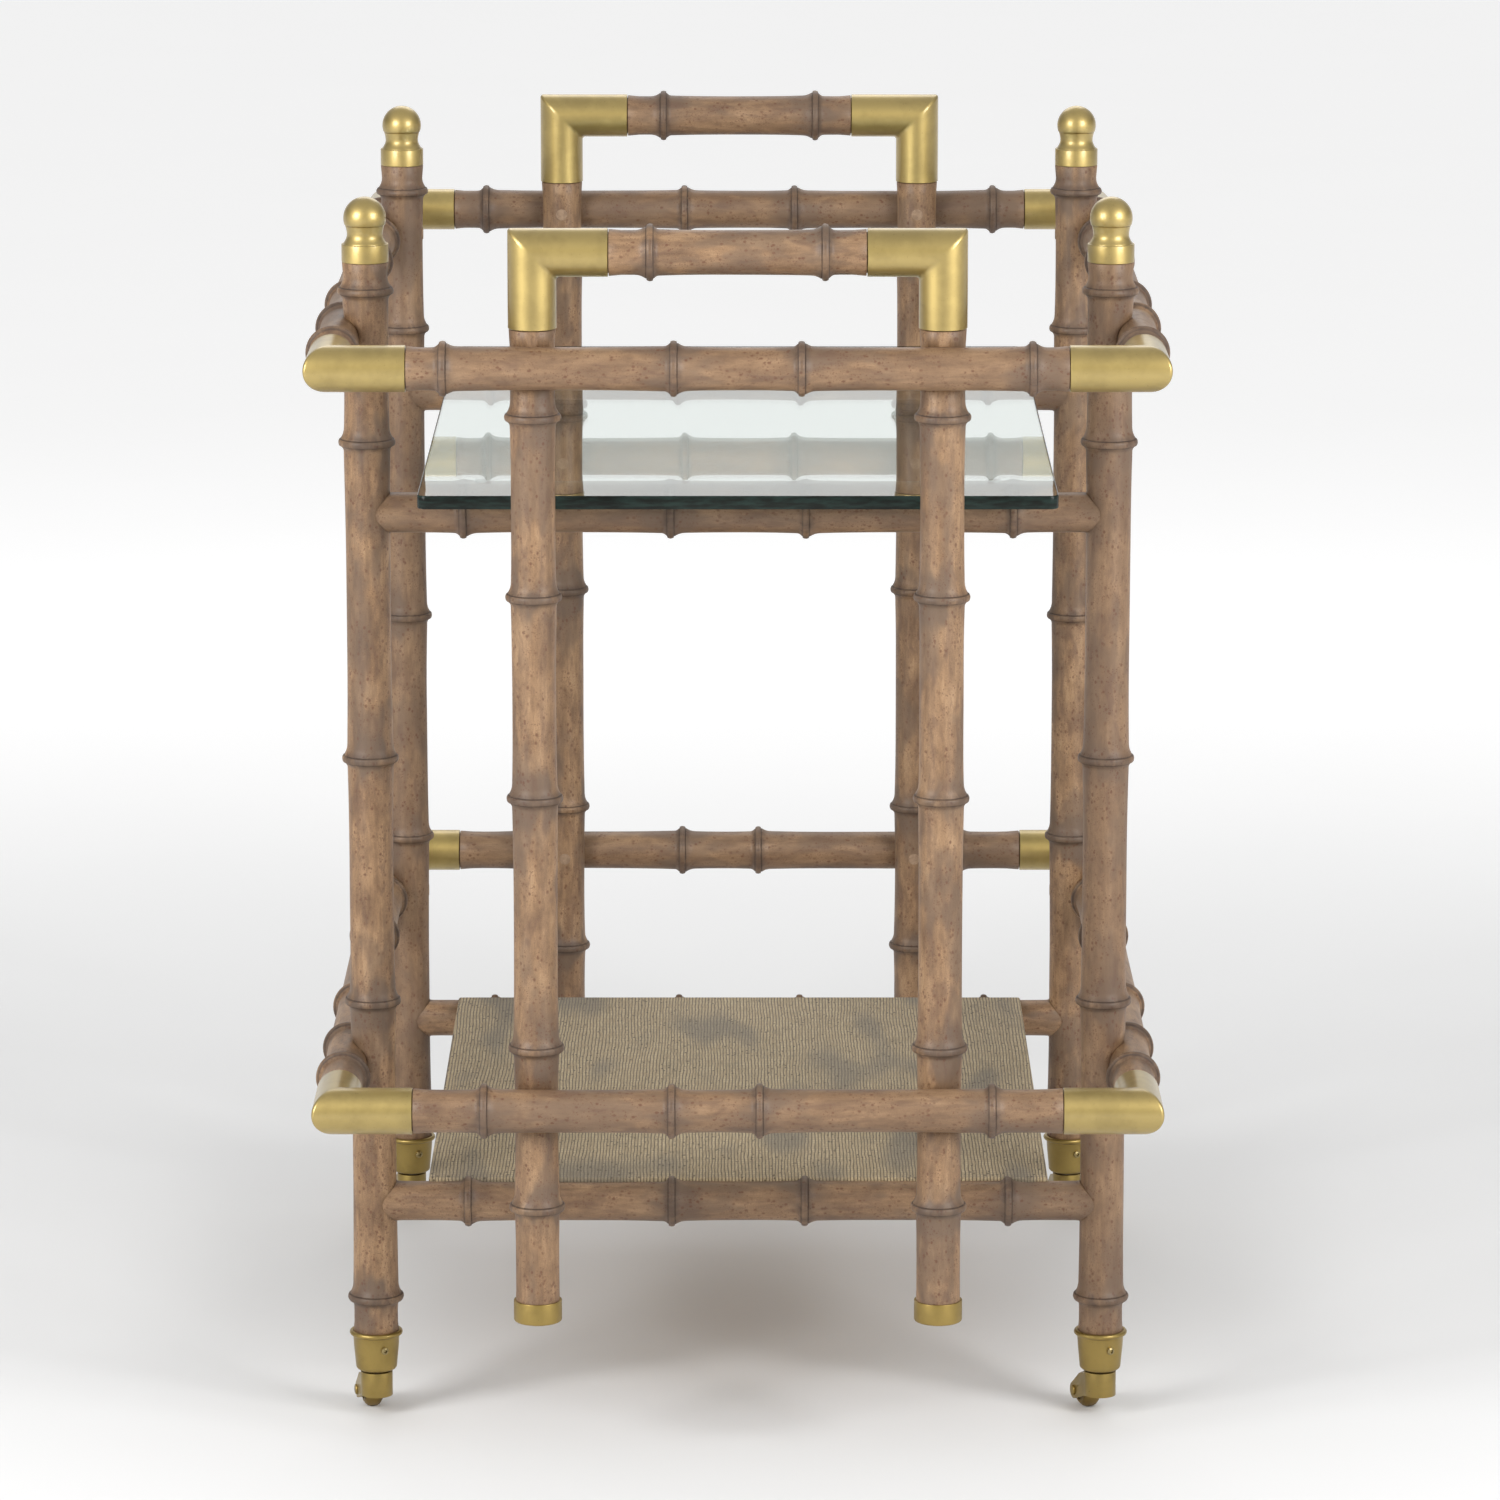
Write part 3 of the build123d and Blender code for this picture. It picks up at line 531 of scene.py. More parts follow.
def make_grasscloth():
    """Ribbed woven grass: thin strands along Y, crossed by fine thread, with dark blotches."""
    cloth = Finish("grasscloth")
    place = cloth.add("TexCoord", {}, out="Object")
    drift = cloth.noise(cloth.stretched(place, (1, 0.25, 1)), 22, 2)
    x = cloth.add("SeparateXYZ", {}, {"Vector": place})
    y, z = x.output("Y"), x.output("Z")
    # Past the fold, the weave goes on down the edge of the board
    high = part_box("lower_shelf_cloth")[1]
    fold, folded = 1.4 * MM, 0.8 * MM
    down = high.z - z
    down_side = down * abs(x).between(high.x - fold, high.x - folded)
    down_end = down * abs(y).between(high.y - fold, high.y - folded)
    wobble = cloth.noise(cloth.stretched(place, (1, 0.5, 1)), 150, 1)
    strand = (x + down_side + drift * (7.0 * MM) + wobble * (1.2 * MM)).wave(STRAND)
    thread = (y + down_end + drift * (3.0 * MM)).wave(THREAD)
    slub = cloth.noise(cloth.stretched(place, (1, 0.10, 1)), 620, 3, 0.6)
    mottle = cloth.noise(cloth.stretched(place, (1, 0.6, 1)), 70, 4, 0.65)
    blotch = cloth.noise(cloth.stretched(place, (1, 0.30, 1)), 30, 0)
    base = cloth.mix(slub.between(0.30, 0.70), (0.305, 0.232, 0.134), (0.468, 0.368, 0.226))
    valley = strand.between(0.42, 0.04) * slub.between(0.20, 0.52)
    ribbed = cloth.mix(valley * 0.88, base, (0.060, 0.043, 0.025))
    crossing = thread.between(0.34, 0.0) * slub.between(0.35, 0.6)
    crossed = cloth.mix(crossing * 0.42, ribbed, (0.110, 0.085, 0.052))
    patched = cloth.mix(mottle.between(0.52, 0.72) * 0.26, crossed, (0.130, 0.108, 0.072))
    blotched = cloth.mix(blotch.between(0.52, 0.76) * 0.56, patched, (0.118, 0.104, 0.084))
    fibre = cloth.cells(cloth.stretched(place, (1, 0.45, 1)), 270)
    dark_fibre = fibre.between(0.30, 0.14) * cloth.noise(place, 70, 1).between(0.42, 0.54)
    colour = cloth.mix(dark_fibre * 0.75, blotched, (0.055, 0.034, 0.018))
    height = strand * 0.8 + thread * 0.25 + slub * 0.5
    return cloth.set(Base_Color=colour, Roughness=0.86, Normal=cloth.bump(height, 0.6, 0.45 * MM),
                     Sheen_Weight=0.05)


bamboo_wood = make_bamboo_wood()
satin_brass = make_satin_brass("satin_brass", (0.455, 0.342, 0.122), 0.39, 0.75)
# Darker copy of the satin brass for the cups, caps, forks and axles: painted shade, as the low
# parts of the cart get less light
caster_brass = make_satin_brass("caster_brass", (0.35, 0.248, 0.074), 0.36, 0.30)
# Darker still for the wheels: painted shade, as they sit in shadow inside the forks near the floor
wheel_brass = make_satin_brass("wheel_brass", (0.255, 0.170, 0.052), 0.42, 0.15)
# Darkened, rougher brass for the screw heads: painted shade, so the heads and their crossed
# recesses read dark
screw_brass = make_satin_brass("screw_brass", (0.36, 0.285, 0.135), 0.30)
steel = make_steel()
board_wood = make_plain_wood("board_wood", (0.30, 0.20, 0.11), (0.48, 0.34, 0.20))
dowel_wood = make_plain_wood("dowel_wood", (0.40, 0.27, 0.15), (0.55, 0.40, 0.24))
plug_wood = make_plain_wood("plug_wood", (0.22, 0.140, 0.085), (0.32, 0.215, 0.135))
clear_glass = make_clear_glass()
painted_dark_glass_edge = make_painted_dark_glass_edge()
clear_rubber = make_clear_rubber()
grasscloth = make_grasscloth()


def add_piece(name, points, faces, material, slot, *nodes, body="frame", angle=35):
    """A finished mesh that stands for CAD nodes."""
    obj = new_object(name, points, faces)
    crisp(obj, angle)
    obj.data.materials.append(material)
    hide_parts(*nodes)
    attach(obj, body)
    return obj


# ---- Wooden frame ----

def gap_between(before, after, along):
    """From the mouth of one brass piece to the mouth of the next, less the seams."""
    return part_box(before)[1][along] + SEAM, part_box(after)[0][along] - SEAM


def make_posts():
    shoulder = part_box("caster_cups")[1].z - 2.6 * MM
    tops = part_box("finials")[0].z + FINIAL_RISE
    for corner in CORNERS:
        side = corner.split("_")[0]
        laps = [read_rod(f"{ring}_rail_{side}", 1) for ring in RINGS]

        def shape(points):
            return notched(points, laps, 1)

        turned_rod(
            f"turned_post_{corner}", f"post_{corner}", 2, shoulder, tops - 0.1 * MM,
            (0.0, 0.0), 1, shape,
        )


def make_rings():
    for ring in RINGS:
        for end in ENDS:
            start, stop = gap_between(f"{ring}_elbow_left_{end}", f"{ring}_elbow_right_{end}", 0)
            name = f"{ring}_rail_{end}"
            turned_rod("turned_" + name, name, 0, start, stop, (RING_TENON, RING_TENON), 1)
        for side in SIDES:
            start, stop = gap_between(f"{ring}_elbow_{side}_near", f"{ring}_elbow_{side}_far", 1)
            name = f"{ring}_rail_{side}"
            turned_rod("turned_" + name, name, 1, start, stop, (RING_TENON, RING_TENON), 1)


def make_handles():
    for corner in CORNERS:
        end = corner.split("_")[1]
        laps = [read_rod(f"{ring}_rail_{end}", 0) for ring in RINGS]

        def shape(points):
            return notched(points, laps, 0)

        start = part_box("leg_end_caps")[0].z + 1.5 * MM
        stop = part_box(f"handle_elbow_{corner}")[0].z - SEAM
        turned_rod(
            f"turned_leg_{corner}", f"handle_leg_{corner}", 2, start, stop, (0.0, HANDLE_TENON), 1,
            shape,
        )
    for end in ENDS:
        start, stop = gap_between(f"handle_elbow_left_{end}", f"handle_elbow_right_{end}", 0)
        name = f"handle_grip_{end}"
        turned_rod("turned_" + name, name, 0, start, stop, (HANDLE_TENON, HANDLE_TENON), -1)


def make_cross_rails():
    """Rails between the posts, with saddled ends.

    The glass rails have a planed top, and the shelf rails a rebate for the shelf.
    """
    shelf_low, shelf_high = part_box("lower_shelf_cloth")
    glass_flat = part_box("glass_bumpers")[0].z
    for kind in ("glass_rail", "shelf_rail"):
        for end in ENDS:
            posts = [read_rod(f"post_{side}_{end}", 2) for side in SIDES]
            toward = 1 if end == "near" else -1

            def shape(points):
                moved = []
                for point in points:
                    for sign, (centre, radius, _) in zip((1, -1), posts):
                        reach = radius + 0.25 * MM
                        aside = min(abs(point.y - centre.y), reach)
                        limit = centre.x + sign * math.sqrt(reach**2 - aside**2)
                        if (point.x - limit) * sign < 0:
                            point.x = limit
                    if kind == "glass_rail":
                        point.z = min(point.z, glass_flat)
                    else:
                        inward = (point.y - posts[0][0].y) * toward
                        across = shelf_low.x - 0.5 * MM < point.x < shelf_high.x + 0.5 * MM
                        if across and inward > 0.1 * MM and point.z > shelf_low.z:
                            point.z = shelf_low.z
                    moved.append(point)
                return moved

            name = f"{kind}_{end}"
            ends = [posts[0][0].x, posts[1][0].x]
            turned_rod("turned_" + name, name, 0, ends[0], ends[1], (0.0, 0.0), 1, shape)


# ---- Brass elbows ----

def elbow_line(distance_out, arm, steps):
    """One line along a mitred tube, as (run along the first arm's way, run along the second's).

    distance_out is how far the line lies outside the tube's own axis.
    """
    bend = distance_out - ELBOW_ROUNDING
    line = [(-arm + (bend + arm) * step, distance_out) for step in steps]
    for i in range(1, 8):
        angle = math.pi / 2 * i / 8
        run, rise = ELBOW_ROUNDING * math.sin(angle), ELBOW_ROUNDING * math.cos(angle)
        line.append((bend + run, bend + rise))
    line += [(distance_out, -arm + (bend + arm) * step) for step in reversed(steps)]
    return line


def make_elbow(node, corner, first_way, second_way, arm, radius):
    """Mitred brass tube; the two ways point from the corner out along the arms."""
    name = f"brass_{node}"
    third = first_way.cross(second_way)
    steps = [0.0, 0.006, 0.016, 0.05, 0.2, 0.45, 0.7, 0.88, 1.0]
    shells = []
    for shell_radius, outer in ((radius, True), (radius - ELBOW_WALL, False)):
        columns = []
        for side in range(ELBOW_SIDES):
            turn = 2 * math.pi * side / ELBOW_SIDES
            line = elbow_line(shell_radius * math.cos(turn), arm, steps)
            lift = shell_radius * math.sin(turn)
            columns.append([
                corner - first_way * u - second_way * v + third * lift for u, v in line])
        rows = [[column[i] for column in columns] for i in range(len(columns[0]))]
        if outer:
            # Mouth edges turned in a little
            for row, way in ((rows[0], first_way), (rows[-1], second_way)):
                middle = corner + way * arm
                for i, point in enumerate(row):
                    row[i] = middle + (point - middle) * (1 - EDGE / radius)
        shells.append(rows)
    points = [point for row in shells[0] for point in row]
    points += [point for row in reversed(shells[1]) for point in row]
    total = len(shells[0]) * 2
    faces = tube_faces(total, ELBOW_SIDES)
    last = (total - 1) * ELBOW_SIDES
    for side in range(ELBOW_SIDES):
        after = (side + 1) % ELBOW_SIDES
        faces.append((last + side, last + after, after, side))
    add_piece(name, points, faces, satin_brass, "satin_brass", node, angle=40)


def make_elbows():
    for ring in RINGS:
        for corner in CORNERS:
            side, end = corner.split("_")
            low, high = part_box(f"{ring}_elbow_{corner}")
            radius = (high.z - low.z) / 2
            across = Vector((1 if side == "left" else -1, 0, 0))
            along = Vector((0, 1 if end == "near" else -1, 0))
            corner_point = Vector((
                low.x + radius if side == "left" else high.x - radius,
                low.y + radius if end == "near" else high.y - radius,
                (low.z + high.z) / 2,
            ))
            arm = high.x - low.x - radius
            make_elbow(f"{ring}_elbow_{corner}", corner_point, across, along, arm, radius)
    for corner in CORNERS:
        side, end = corner.split("_")
        low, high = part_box(f"handle_elbow_{corner}")
        radius = (high.y - low.y) / 2
        across = Vector((1 if side == "left" else -1, 0, 0))
        corner_point = Vector((
            low.x + radius if side == "left" else high.x - radius,
            (low.y + high.y) / 2,
            high.z - radius,
        ))
        arm = high.x - low.x - radius
        down = Vector((0, 0, -1))
        make_elbow(f"handle_elbow_{corner}", corner_point, across, down, arm, radius)


# ---- Turned brass ----

def corner_places(node, radius):
    """Axes of the four turned pieces in a grouped node, each of that outer radius."""
    low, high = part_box(node)
    return [(x, y, 0) for x in (low.x + radius, high.x - radius)
            for y in (low.y + radius, high.y - radius)]


def cove(first, middle, last, steps):
    """A smooth hollow through three points of (radius, height)."""
    curve = []
    for i in range(steps + 1):
        share = i / steps * 2
        if share < 1:
            ease = math.sin(share * math.pi / 2)
            pair, run = (first, middle), share
        else:
            ease = 1 - math.cos((share - 1) * math.pi / 2)
            pair, run = (middle, last), share - 1
        curve.append((
            pair[0][0] + (pair[1][0] - pair[0][0]) * ease,
            pair[0][1] + (pair[1][1] - pair[0][1]) * run,
        ))
    return curve


def make_finials():
    """A plain base, a small step, a hollow neck and a ball."""
    low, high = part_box("finials")
    base = read_rod("post_left_near", 2)[1] + 0.6 * MM
    foot, crown = low.z + FINIAL_RISE, high.z
    ball = 14.9 * MM
    ball_centre = (0, crown - ball)
    neck, ball_foot = (12.5 * MM, foot + 19.2 * MM), (13.5 * MM, foot + 25.2 * MM)
    profile = [
        (0, foot), (base - 1.0 * MM, foot), (base - 0.3 * MM, foot + 0.1 * MM),
        (base, foot + 0.5 * MM), (base, foot + 12.2 * MM), (base - 0.12 * MM, foot + 12.6 * MM),
        (base - 0.4 * MM, foot + 12.85 * MM), (base - 0.9 * MM, foot + 12.9 * MM),
        (base - 1.3 * MM, foot + 12.65 * MM),
    ]
    profile += cove((base - 1.4 * MM, foot + 13.2 * MM), neck, ball_foot, 14)
    profile += [
        (ball_foot[0] - 0.25 * MM, ball_foot[1] + 0.25 * MM),
        (ball_foot[0] + 0.30 * MM, ball_foot[1] + 0.45 * MM),
    ]
    start = math.degrees(math.asin((ball_foot[1] + 0.9 * MM - ball_centre[1]) / ball))
    profile += arc(ball_centre, ball, start, 88, 26) + [(0, crown)]
    points, faces = lathe(profile, corner_places("finials", base), 72)
    add_piece("turned_finials", points, faces, satin_brass, "satin_brass", "finials")


def make_cups():
    """Tapered caster cups with a beaded lip, open at the top."""
    low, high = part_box("caster_cups")
    radius = read_rod("post_left_near", 2)[1]
    foot, top = low.z, high.z
    neck = radius + 0.9 * MM
    base = neck - 2.0 * MM
    bead = (radius + 1.4 * MM, top - 1.95 * MM)
    inner = radius + 0.45 * MM
    profile = [(0, foot), (base - 3.3 * MM, foot), (base - 2.6 * MM, foot + 0.15 * MM)]
    profile += arc((base - 2.6 * MM, foot + 3.0 * MM), 2.6 * MM, -75, 0, 8)
    profile += [(neck - 0.6 * MM, foot + 18 * MM), (neck - 0.1 * MM, top - 4.6 * MM),
                (neck + 0.1 * MM, top - 4.2 * MM)]
    profile += arc(bead, 1.85 * MM, -65, 140, 16)
    profile += [
        (inner, top - 1.2 * MM), (inner, top - 2.5 * MM), (inner - 2.5 * MM, top - 3.1 * MM),
        (inner - 3.5 * MM, foot + 5.2 * MM), (0, foot + 5.2 * MM),
    ]
    points, faces = lathe(profile, post_axes(), 72)
    add_piece("brass_caster_cups", points, faces, caster_brass, "satin_brass", "caster_cups")


def post_axes():
    return [read_rod(f"post_{corner}", 2)[0] for corner in CORNERS]


def make_leg_caps():
    low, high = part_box("leg_end_caps")
    radius = read_rod("handle_leg_left_near", 2)[1] + 1.45 * MM
    inner = radius - 1.2 * MM
    foot, top = low.z, high.z
    profile = [(0, foot), (radius - 2.0 * MM, foot)]
    profile += arc((radius - 1.6 * MM, foot + 1.6 * MM), 1.6 * MM, -80, 0, 8)
    profile += [
        (radius, top - 0.5 * MM), (radius - 0.15 * MM, top - 0.12 * MM), (radius - 0.5 * MM, top),
        (inner, top), (inner, foot + 1.3 * MM), (0, foot + 1.3 * MM),
    ]
    points, faces = lathe(profile, corner_places("leg_end_caps", radius), 64)
    add_piece("brass_leg_end_caps", points, faces, caster_brass, "satin_brass", "leg_end_caps")


def along_way(origin, way):
    """Matrix that stands a turned shape's axis along a direction."""
    return Matrix.Translation(origin) @ Vector(way).to_track_quat("Z", "Y").to_matrix().to_4x4()


def make_cup_screws():
    """Pan heads with a crossed recess, on the side of each cup."""
    low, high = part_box("cup_screws")
    radius = read_rod("post_left_near", 2)[1] + 0.9 * MM
    bearing = math.radians(24)
    way = Vector((math.sin(bearing), -math.cos(bearing), 0))
    height = (low.z + high.z) / 2
    head = 2.7 * MM
    thick = 1.5 * MM
    profile = [
        (0, -9 * MM), (1.5 * MM, -9 * MM), (1.5 * MM, -0.9 * MM), (head, -0.9 * MM),
        (head, 0.45 * MM), (head - 0.14 * MM, 0.8 * MM), (head - 0.55 * MM, 1.12 * MM),
        (head - 1.2 * MM, 1.36 * MM), (0.8 * MM, thick - 0.02 * MM), (0, thick),
    ]
    head_points, head_faces = lathe(profile, [(0, 0, 0)], 40)
    points, faces = [], []
    tool_points, tool_faces = [], []
    turn = Matrix.Rotation(math.radians(17), 4, "Z")
    for axis in post_axes():
        frame_at = along_way(axis + Vector((0, 0, height)) + way * radius, way) @ turn
        first = len(points)
        points += [frame_at @ point for point in head_points]
        faces += [tuple(first + i for i in face) for face in head_faces]
        first = len(tool_points)
        w = 0.62 * MM           # half the width of the crossed slots
        for level, arm in ((0.10 * MM, 0.83 * MM), (2.5 * MM, 1.85 * MM)):
            outline = [(w, -arm), (w, -w), (arm, -w), (arm, w), (w, w), (w, arm), (-w, arm),
                       (-w, w), (-arm, w), (-arm, -w), (-w, -w), (-w, -arm)]
            tool_points += [frame_at @ Vector((u, v, level)) for u, v in outline]
        count = len(outline)
        tool_faces += tube_faces(2, count, first)
        tool_faces.append(tuple(first + i for i in reversed(range(count))))
        tool_faces.append(tuple(first + count + i for i in range(count)))
    obj = add_piece("cross_head_screws", points, faces, screw_brass, "screw_brass", "cup_screws")
    tool = new_object("recess_cutter", tool_points, tool_faces, smooth=False)
    cut = obj.modifiers.new("recess", "BOOLEAN")
    cut.operation, cut.object, cut.solver = "DIFFERENCE", tool, "EXACT"
    settle(obj)
    bpy.data.objects.remove(tool)
    crisp(obj, 30)


def settle(obj):
    """Keep the result of an object's modifiers as its own mesh."""
    bpy.context.view_layer.update()
    shape = obj.evaluated_get(bpy.context.evaluated_depsgraph_get())
    mesh = bpy.data.meshes.new_from_object(shape)
    obj.modifiers.clear()
    obj.data = mesh


# ---- Casters ----

def make_casters():
    joints = {joint["name"]: joint for joint in frame["joints"]}
    for corner in CORNERS:
        roll = joints[f"roll_{corner}"]
        centre, way = Vector(roll["pos_m"]), Vector(roll["axis"])
        place = along_way(centre, way)

        low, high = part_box(f"caster_wheel_{corner}")
        radius = (high.z - low.z) / 2
        half = 6.5 * MM         # half the wheel's width
        rounding = 5.2 * MM     # of the tread
        side = [
            (2.6 * MM, half - 0.25 * MM), (4.6 * MM, half - 0.05 * MM),
            (5.0 * MM, half - 0.25 * MM), (5.3 * MM, half - 0.95 * MM),
            (8.6 * MM, half - 0.95 * MM), (8.9 * MM, half - 0.3 * MM), (9.2 * MM, half),
        ]
        tread = arc((radius - rounding, half - rounding), rounding, 90, 0, 8)
        outer = side + tread
        profile = [(0, -half + 0.25 * MM)] + [(r, -z) for r, z in outer]
        profile += list(reversed(outer)) + [(0, half - 0.25 * MM)]
        points, faces = lathe(profile, [(0, 0, 0)], 64)
        add_piece(
            f"brass_wheel_{corner}", [place @ p for p in points], faces, wheel_brass,
            "caster_brass", f"caster_wheel_{corner}", body=f"wheel_{corner}", angle=30,
        )

        cheek = 11.2 * MM       # from the wheel's middle to the outside of the fork
        end = [(2.5 * MM, cheek - 2 * MM), (3.7 * MM, cheek), (3.7 * MM, cheek + 0.7 * MM),
               (3.4 * MM, cheek + 1.15 * MM), (2.4 * MM, cheek + 1.45 * MM)]
        profile = [(0, -cheek - 1.5 * MM)] + [(r, -z) for r, z in reversed(end)]
        profile += end + [(0, cheek + 1.5 * MM)]
        points, faces = lathe(profile, [(0, 0, 0)], 32)
        add_piece(
            f"axle_{corner}", [place @ p for p in points], faces, caster_brass, "caster_brass",
            f"caster_axle_{corner}", body=f"swivel_{corner}", angle=30,
        )
        make_fork(corner)


def make_fork(corner):
    """The cast fork with its edges softened."""
    source = frame["nodes"][f"caster_fork_{corner}"]
    mesh = source.data.copy()
    work = bmesh.new()
    work.from_mesh(mesh)
    bmesh.ops.remove_doubles(work, verts=work.verts, dist=0.002 * MM)
    bmesh.ops.dissolve_limit(
        work, angle_limit=math.radians(2), verts=work.verts, edges=work.edges,
        use_dissolve_boundaries=False,
    )
    sharp = [
        edge for edge in work.edges
        if len(edge.link_faces) == 2 and edge.calc_face_angle() > math.radians(38)
    ]
    bmesh.ops.bevel(
        work, geom=sharp, offset=0.45 * MM, segments=2, profile=0.5, affect="EDGES",
        clamp_overlap=True,
    )
    work.to_mesh(mesh)
    work.free()
    mesh.materials.clear()
    mesh.polygons.foreach_set("use_smooth", [True] * len(mesh.polygons))
    obj = bpy.data.objects.new(f"cast_fork_{corner}", mesh)
    bpy.context.scene.collection.objects.link(obj)
    crisp(obj, 40)
    mesh.materials.append(caster_brass)
    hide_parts(f"caster_fork_{corner}")
    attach(obj, f"swivel_{corner}")


# ---- Shelves ----

def rounded_slab(low, high, profile, corner):
    """Rounded rectangles stacked along a profile of (inset, height), closed by flat ends."""
    centre = (low + high) / 2
    half = (high - low) / 2
    steps = 8
    points = []
    for inset, height in profile:
        rounding = max(corner - inset, 0.3 * MM)
        for quarter, (sx, sy) in enumerate(((1, 1), (-1, 1), (-1, -1), (1, -1))):
            for step in range(steps + 1):
                turn = math.pi / 2 * (quarter + step / steps)
                points.append(Vector((
                    centre.x + sx * (half.x - inset - rounding) + rounding * math.cos(turn),
                    centre.y + sy * (half.y - inset - rounding) + rounding * math.sin(turn),
                    height,
                )))
    sides = 4 * (steps + 1)
    faces = tube_faces(len(profile), sides)
    faces.append(tuple(reversed(range(sides))))
    faces.append(tuple(range((len(profile) - 1) * sides, len(profile) * sides)))
    return points, faces


def make_glass():
    low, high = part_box("glass_shelf")
    arris = 0.8 * MM
    profile = [(arris, low.z), (arris * 0.35, low.z + arris * 0.3), (0, low.z + arris),
               (0, high.z - arris), (arris * 0.35, high.z - arris * 0.3), (arris, high.z)]
    points, faces = rounded_slab(low, high, profile, 7 * MM)
    obj = add_piece("glass_shelf_pane", points, faces, clear_glass, "shelf_glass", "glass_shelf")
    # The pane's rounded edges get the opaque dark edge colour of painted shade
    obj.data.materials.append(painted_dark_glass_edge)
    for polygon in obj.data.polygons:
        flat = abs(polygon.normal.z) > 0.99
        polygon.material_index = 0 if flat else 1
        polygon.use_smooth = not flat

    low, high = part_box("glass_bumpers")
    radius = 4.5 * MM
    profile = [(0, low.z), (radius - 0.3 * MM, low.z), (radius, low.z + 0.3 * MM),
               (radius - 0.1 * MM, high.z - 0.4 * MM), (radius - 0.5 * MM, high.z - 0.02 * MM),
               (0, high.z - 0.02 * MM)]
    points, faces = lathe(profile, corner_places("glass_bumpers", radius), 32)
    add_piece("shelf_bumpers", points, faces, clear_rubber, "clear_bumper", "glass_bumpers")


def make_lower_shelf():
    """Cloth wrapped round the board and turned under its edges."""
    low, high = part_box("lower_shelf_cloth")
    fold, wrap, hem = CLOTH_FOLD, CLOTH_WRAP, CLOTH_HEM
    turns = [math.pi / 2 * i / 5 for i in range(6)]
    # From the inside face of the top, down the inside, round the hem and up the outside
    profile = [(wrap, high.z - wrap), (wrap, low.z + wrap), (hem, low.z + wrap), (hem, low.z)]
    profile += [(fold - fold * math.sin(t), low.z + fold - fold * math.cos(t)) for t in turns]
    profile += [(fold - fold * math.cos(t), high.z - fold + fold * math.sin(t)) for t in turns]
    points, faces = rounded_slab(low, high, profile, 2.5 * MM)
    add_piece("grasscloth_wrap", points, faces, grasscloth, "grasscloth", "lower_shelf_cloth")


# ---- Screw plugs ----

def make_plugs():
    """Round plugs over the lap screws, dressed nearly flush with the rods' inner faces."""
    points, faces = [], []
    plug, depth = 4.4 * MM, 5 * MM
    proud, worn = 0.22 * MM, 0.12 * MM
    rings, sides = 5, 28
    turns = [2 * math.pi * step / sides for step in range(sides)]
    for corner in CORNERS:
        side, end = corner.split("_")
        for node, rail, axis in ((f"post_{corner}", side, 0), (f"handle_leg_{corner}", end, 1)):
            centre, radius, _ = read_rod(node, 2)
            inward = -1 if rail in ("right", "far") else 1
            for ring in RINGS:
                rail_low, rail_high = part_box(f"{ring}_rail_{rail}")
                height = (rail_low.z + rail_high.z) / 2

                def place(across, up, reach):
                    point = Vector(centre)
                    point[1 - axis] += across
                    point[axis] += inward * reach
                    point.z = height + up
                    return point

                first = len(points)
                points.append(place(0, 0, radius + proud))
                for level in range(1, rings + 1):
                    share = level / rings
                    crown = radius + proud - worn * share**4
                    for turn in turns:
                        across = plug * share * math.cos(turn)
                        up = plug * share * math.sin(turn)
                        points.append(place(across, up, math.sqrt(crown**2 - across**2)))
                for turn in turns:
                    across, up = plug * math.cos(turn), plug * math.sin(turn)
                    points.append(place(across, up, radius - depth))
                made = [(first, first + 1 + step, first + 1 + (step + 1) % sides)
                        for step in range(sides)]
                made += [tuple(reversed(face)) for face in tube_faces(rings + 1, sides, first + 1)]
                last = first + 1 + rings * sides
                made.append(tuple(reversed(range(last, last + sides))))
                if (inward > 0) == (axis == 1):
                    made = [tuple(reversed(face)) for face in made]
                faces += made
    add_piece("flush_plugs", points, faces, plug_wood, "plug_wood", "screw_plugs")


# ---- Build ----
make_posts()
make_rings()
make_handles()
make_cross_rails()
make_elbows()
make_finials()
make_cups()
make_leg_caps()
make_cup_screws()
make_casters()
make_glass()
make_lower_shelf()
make_plugs()

HIDDEN_FINISHES = {
    "caster_stems": steel, "lap_screws": steel, "shelf_screws": steel, "finial_studs": steel,
    "rail_dowels": dowel_wood, "lower_shelf_board": board_wood,
}
for node, material in HIDDEN_FINISHES.items():
    mesh = frame["nodes"][node].data
    mesh.materials.clear()
    mesh.materials.append(material)


# ---- Floor, light and camera ----

def make_floor_paint():
    """Pale matt floor, lit of itself in the distance so that it stays pale."""
    paint = Finish("pale_floor")
    place = paint.add("TexCoord", {}, out="Object")
    cloud = paint.noise(place, 3, 2)
    away = paint.add("VectorMath", {"operation": "LENGTH"}, {0: place}, "Value")
    glow = away.between(0.5, 3.2)
    return paint.set(
        Base_Color=paint.mix(cloud, (0.74, 0.74, 0.74), (0.76, 0.76, 0.76)), Roughness=0.9,
        Emission_Color=paint.mix(glow, (0, 0, 0), (0.42, 0.42, 0.42)), Emission_Strength=1.0,
    )


half = 30.0
floor_corners = [(-half, -half, 0), (half, -half, 0), (half, half, 0), (-half, half, 0)]
floor = new_object("studio_floor", floor_corners, [(0, 1, 2, 3)], smooth=False)
floor.data.materials.append(make_floor_paint())


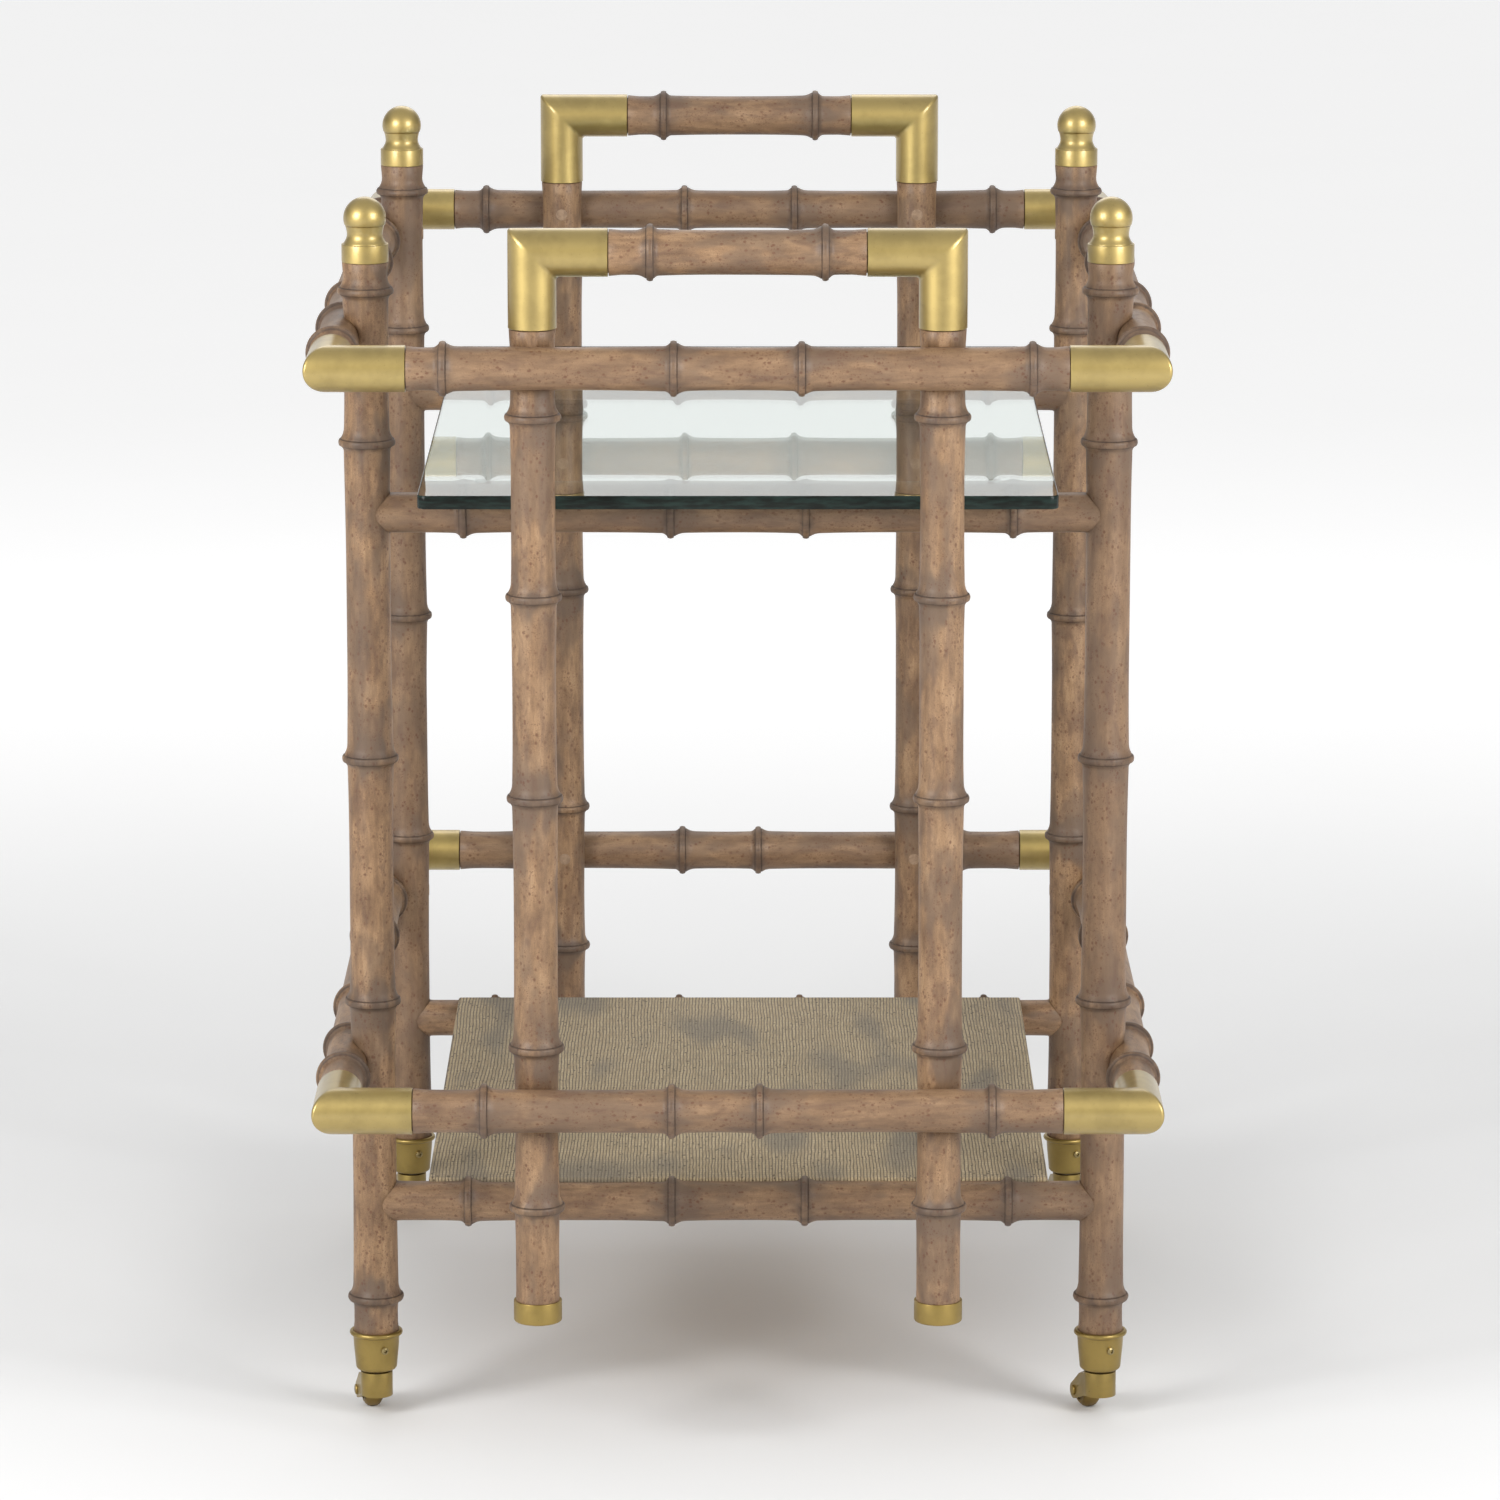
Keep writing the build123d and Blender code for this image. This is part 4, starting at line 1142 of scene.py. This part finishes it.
def soft_light(name, azimuth, elevation, distance, size, power, target):
    """Square light that faces the target; azimuth 0 is on the camera's side."""
    a, e = math.radians(azimuth), math.radians(elevation)
    way = Vector((math.sin(a) * math.cos(e), -math.cos(a) * math.cos(e), math.sin(e)))
    lamp = bpy.data.lights.new(name, "AREA")
    lamp.shape = "RECTANGLE"
    lamp.size, lamp.size_y = size
    lamp.energy = power
    obj = bpy.data.objects.new(name, lamp)
    obj.location = Vector(target) + way * distance
    obj.rotation_mode = "QUATERNION"
    obj.rotation_quaternion = way.to_track_quat("Z", "Y")
    bpy.context.scene.collection.objects.link(obj)


class Sky(Finish):
    """A world shader for the studio's walls and ceiling."""

    def __init__(self, name):
        self.world = bpy.data.worlds.new(name)
        self.world.use_nodes = True
        self.tree = self.world.node_tree
        self.shader = self.tree.nodes["Background"]


middle = (0, 0, 0.45)
soft_light("softbox_left", -43, 22, 3.0, (1.2, 1.2), 60, middle)
soft_light("softbox_right", 43, 22, 3.0, (1.2, 1.2), 58, middle)
soft_light("softbox_back", 180, 38, 3.2, (2.0, 1.4), 17, middle)

sky = Sky("studio")
way = sky.add("TexCoord", {}, out="Generated")
height = sky.add("SeparateXYZ", {}, {"Vector": way}, "Z")
behind = height.output("Y")
# Brightest overhead, pale behind the cart and along the horizon
ceiling = height.between(0.05, 0.80) * 0.55
backdrop = behind.between(0.55, 0.95) * height.between(0.50, 0.10) * 0.75
horizon = height.between(0.20, 0.04) * 0.55
sky.join(ceiling + backdrop.at_least(horizon) + 0.14, sky.shader.inputs["Strength"])
sky.join((1, 1, 1), sky.shader.inputs["Color"])
bpy.context.scene.world = sky.world
bpy.context.scene.view_settings.view_transform = "Standard"

camera = bpy.data.objects.new("camera", bpy.data.cameras.new("camera"))
camera.data.lens = 175.65
camera.data.sensor_width = 36
camera.location = (0.0084, -5.344, 1.5230)
camera.rotation_euler = (math.radians(90 - 11.55), 0, 0)
camera.data.clip_end = 200
bpy.context.scene.collection.objects.link(camera)
bpy.context.scene.camera = camera
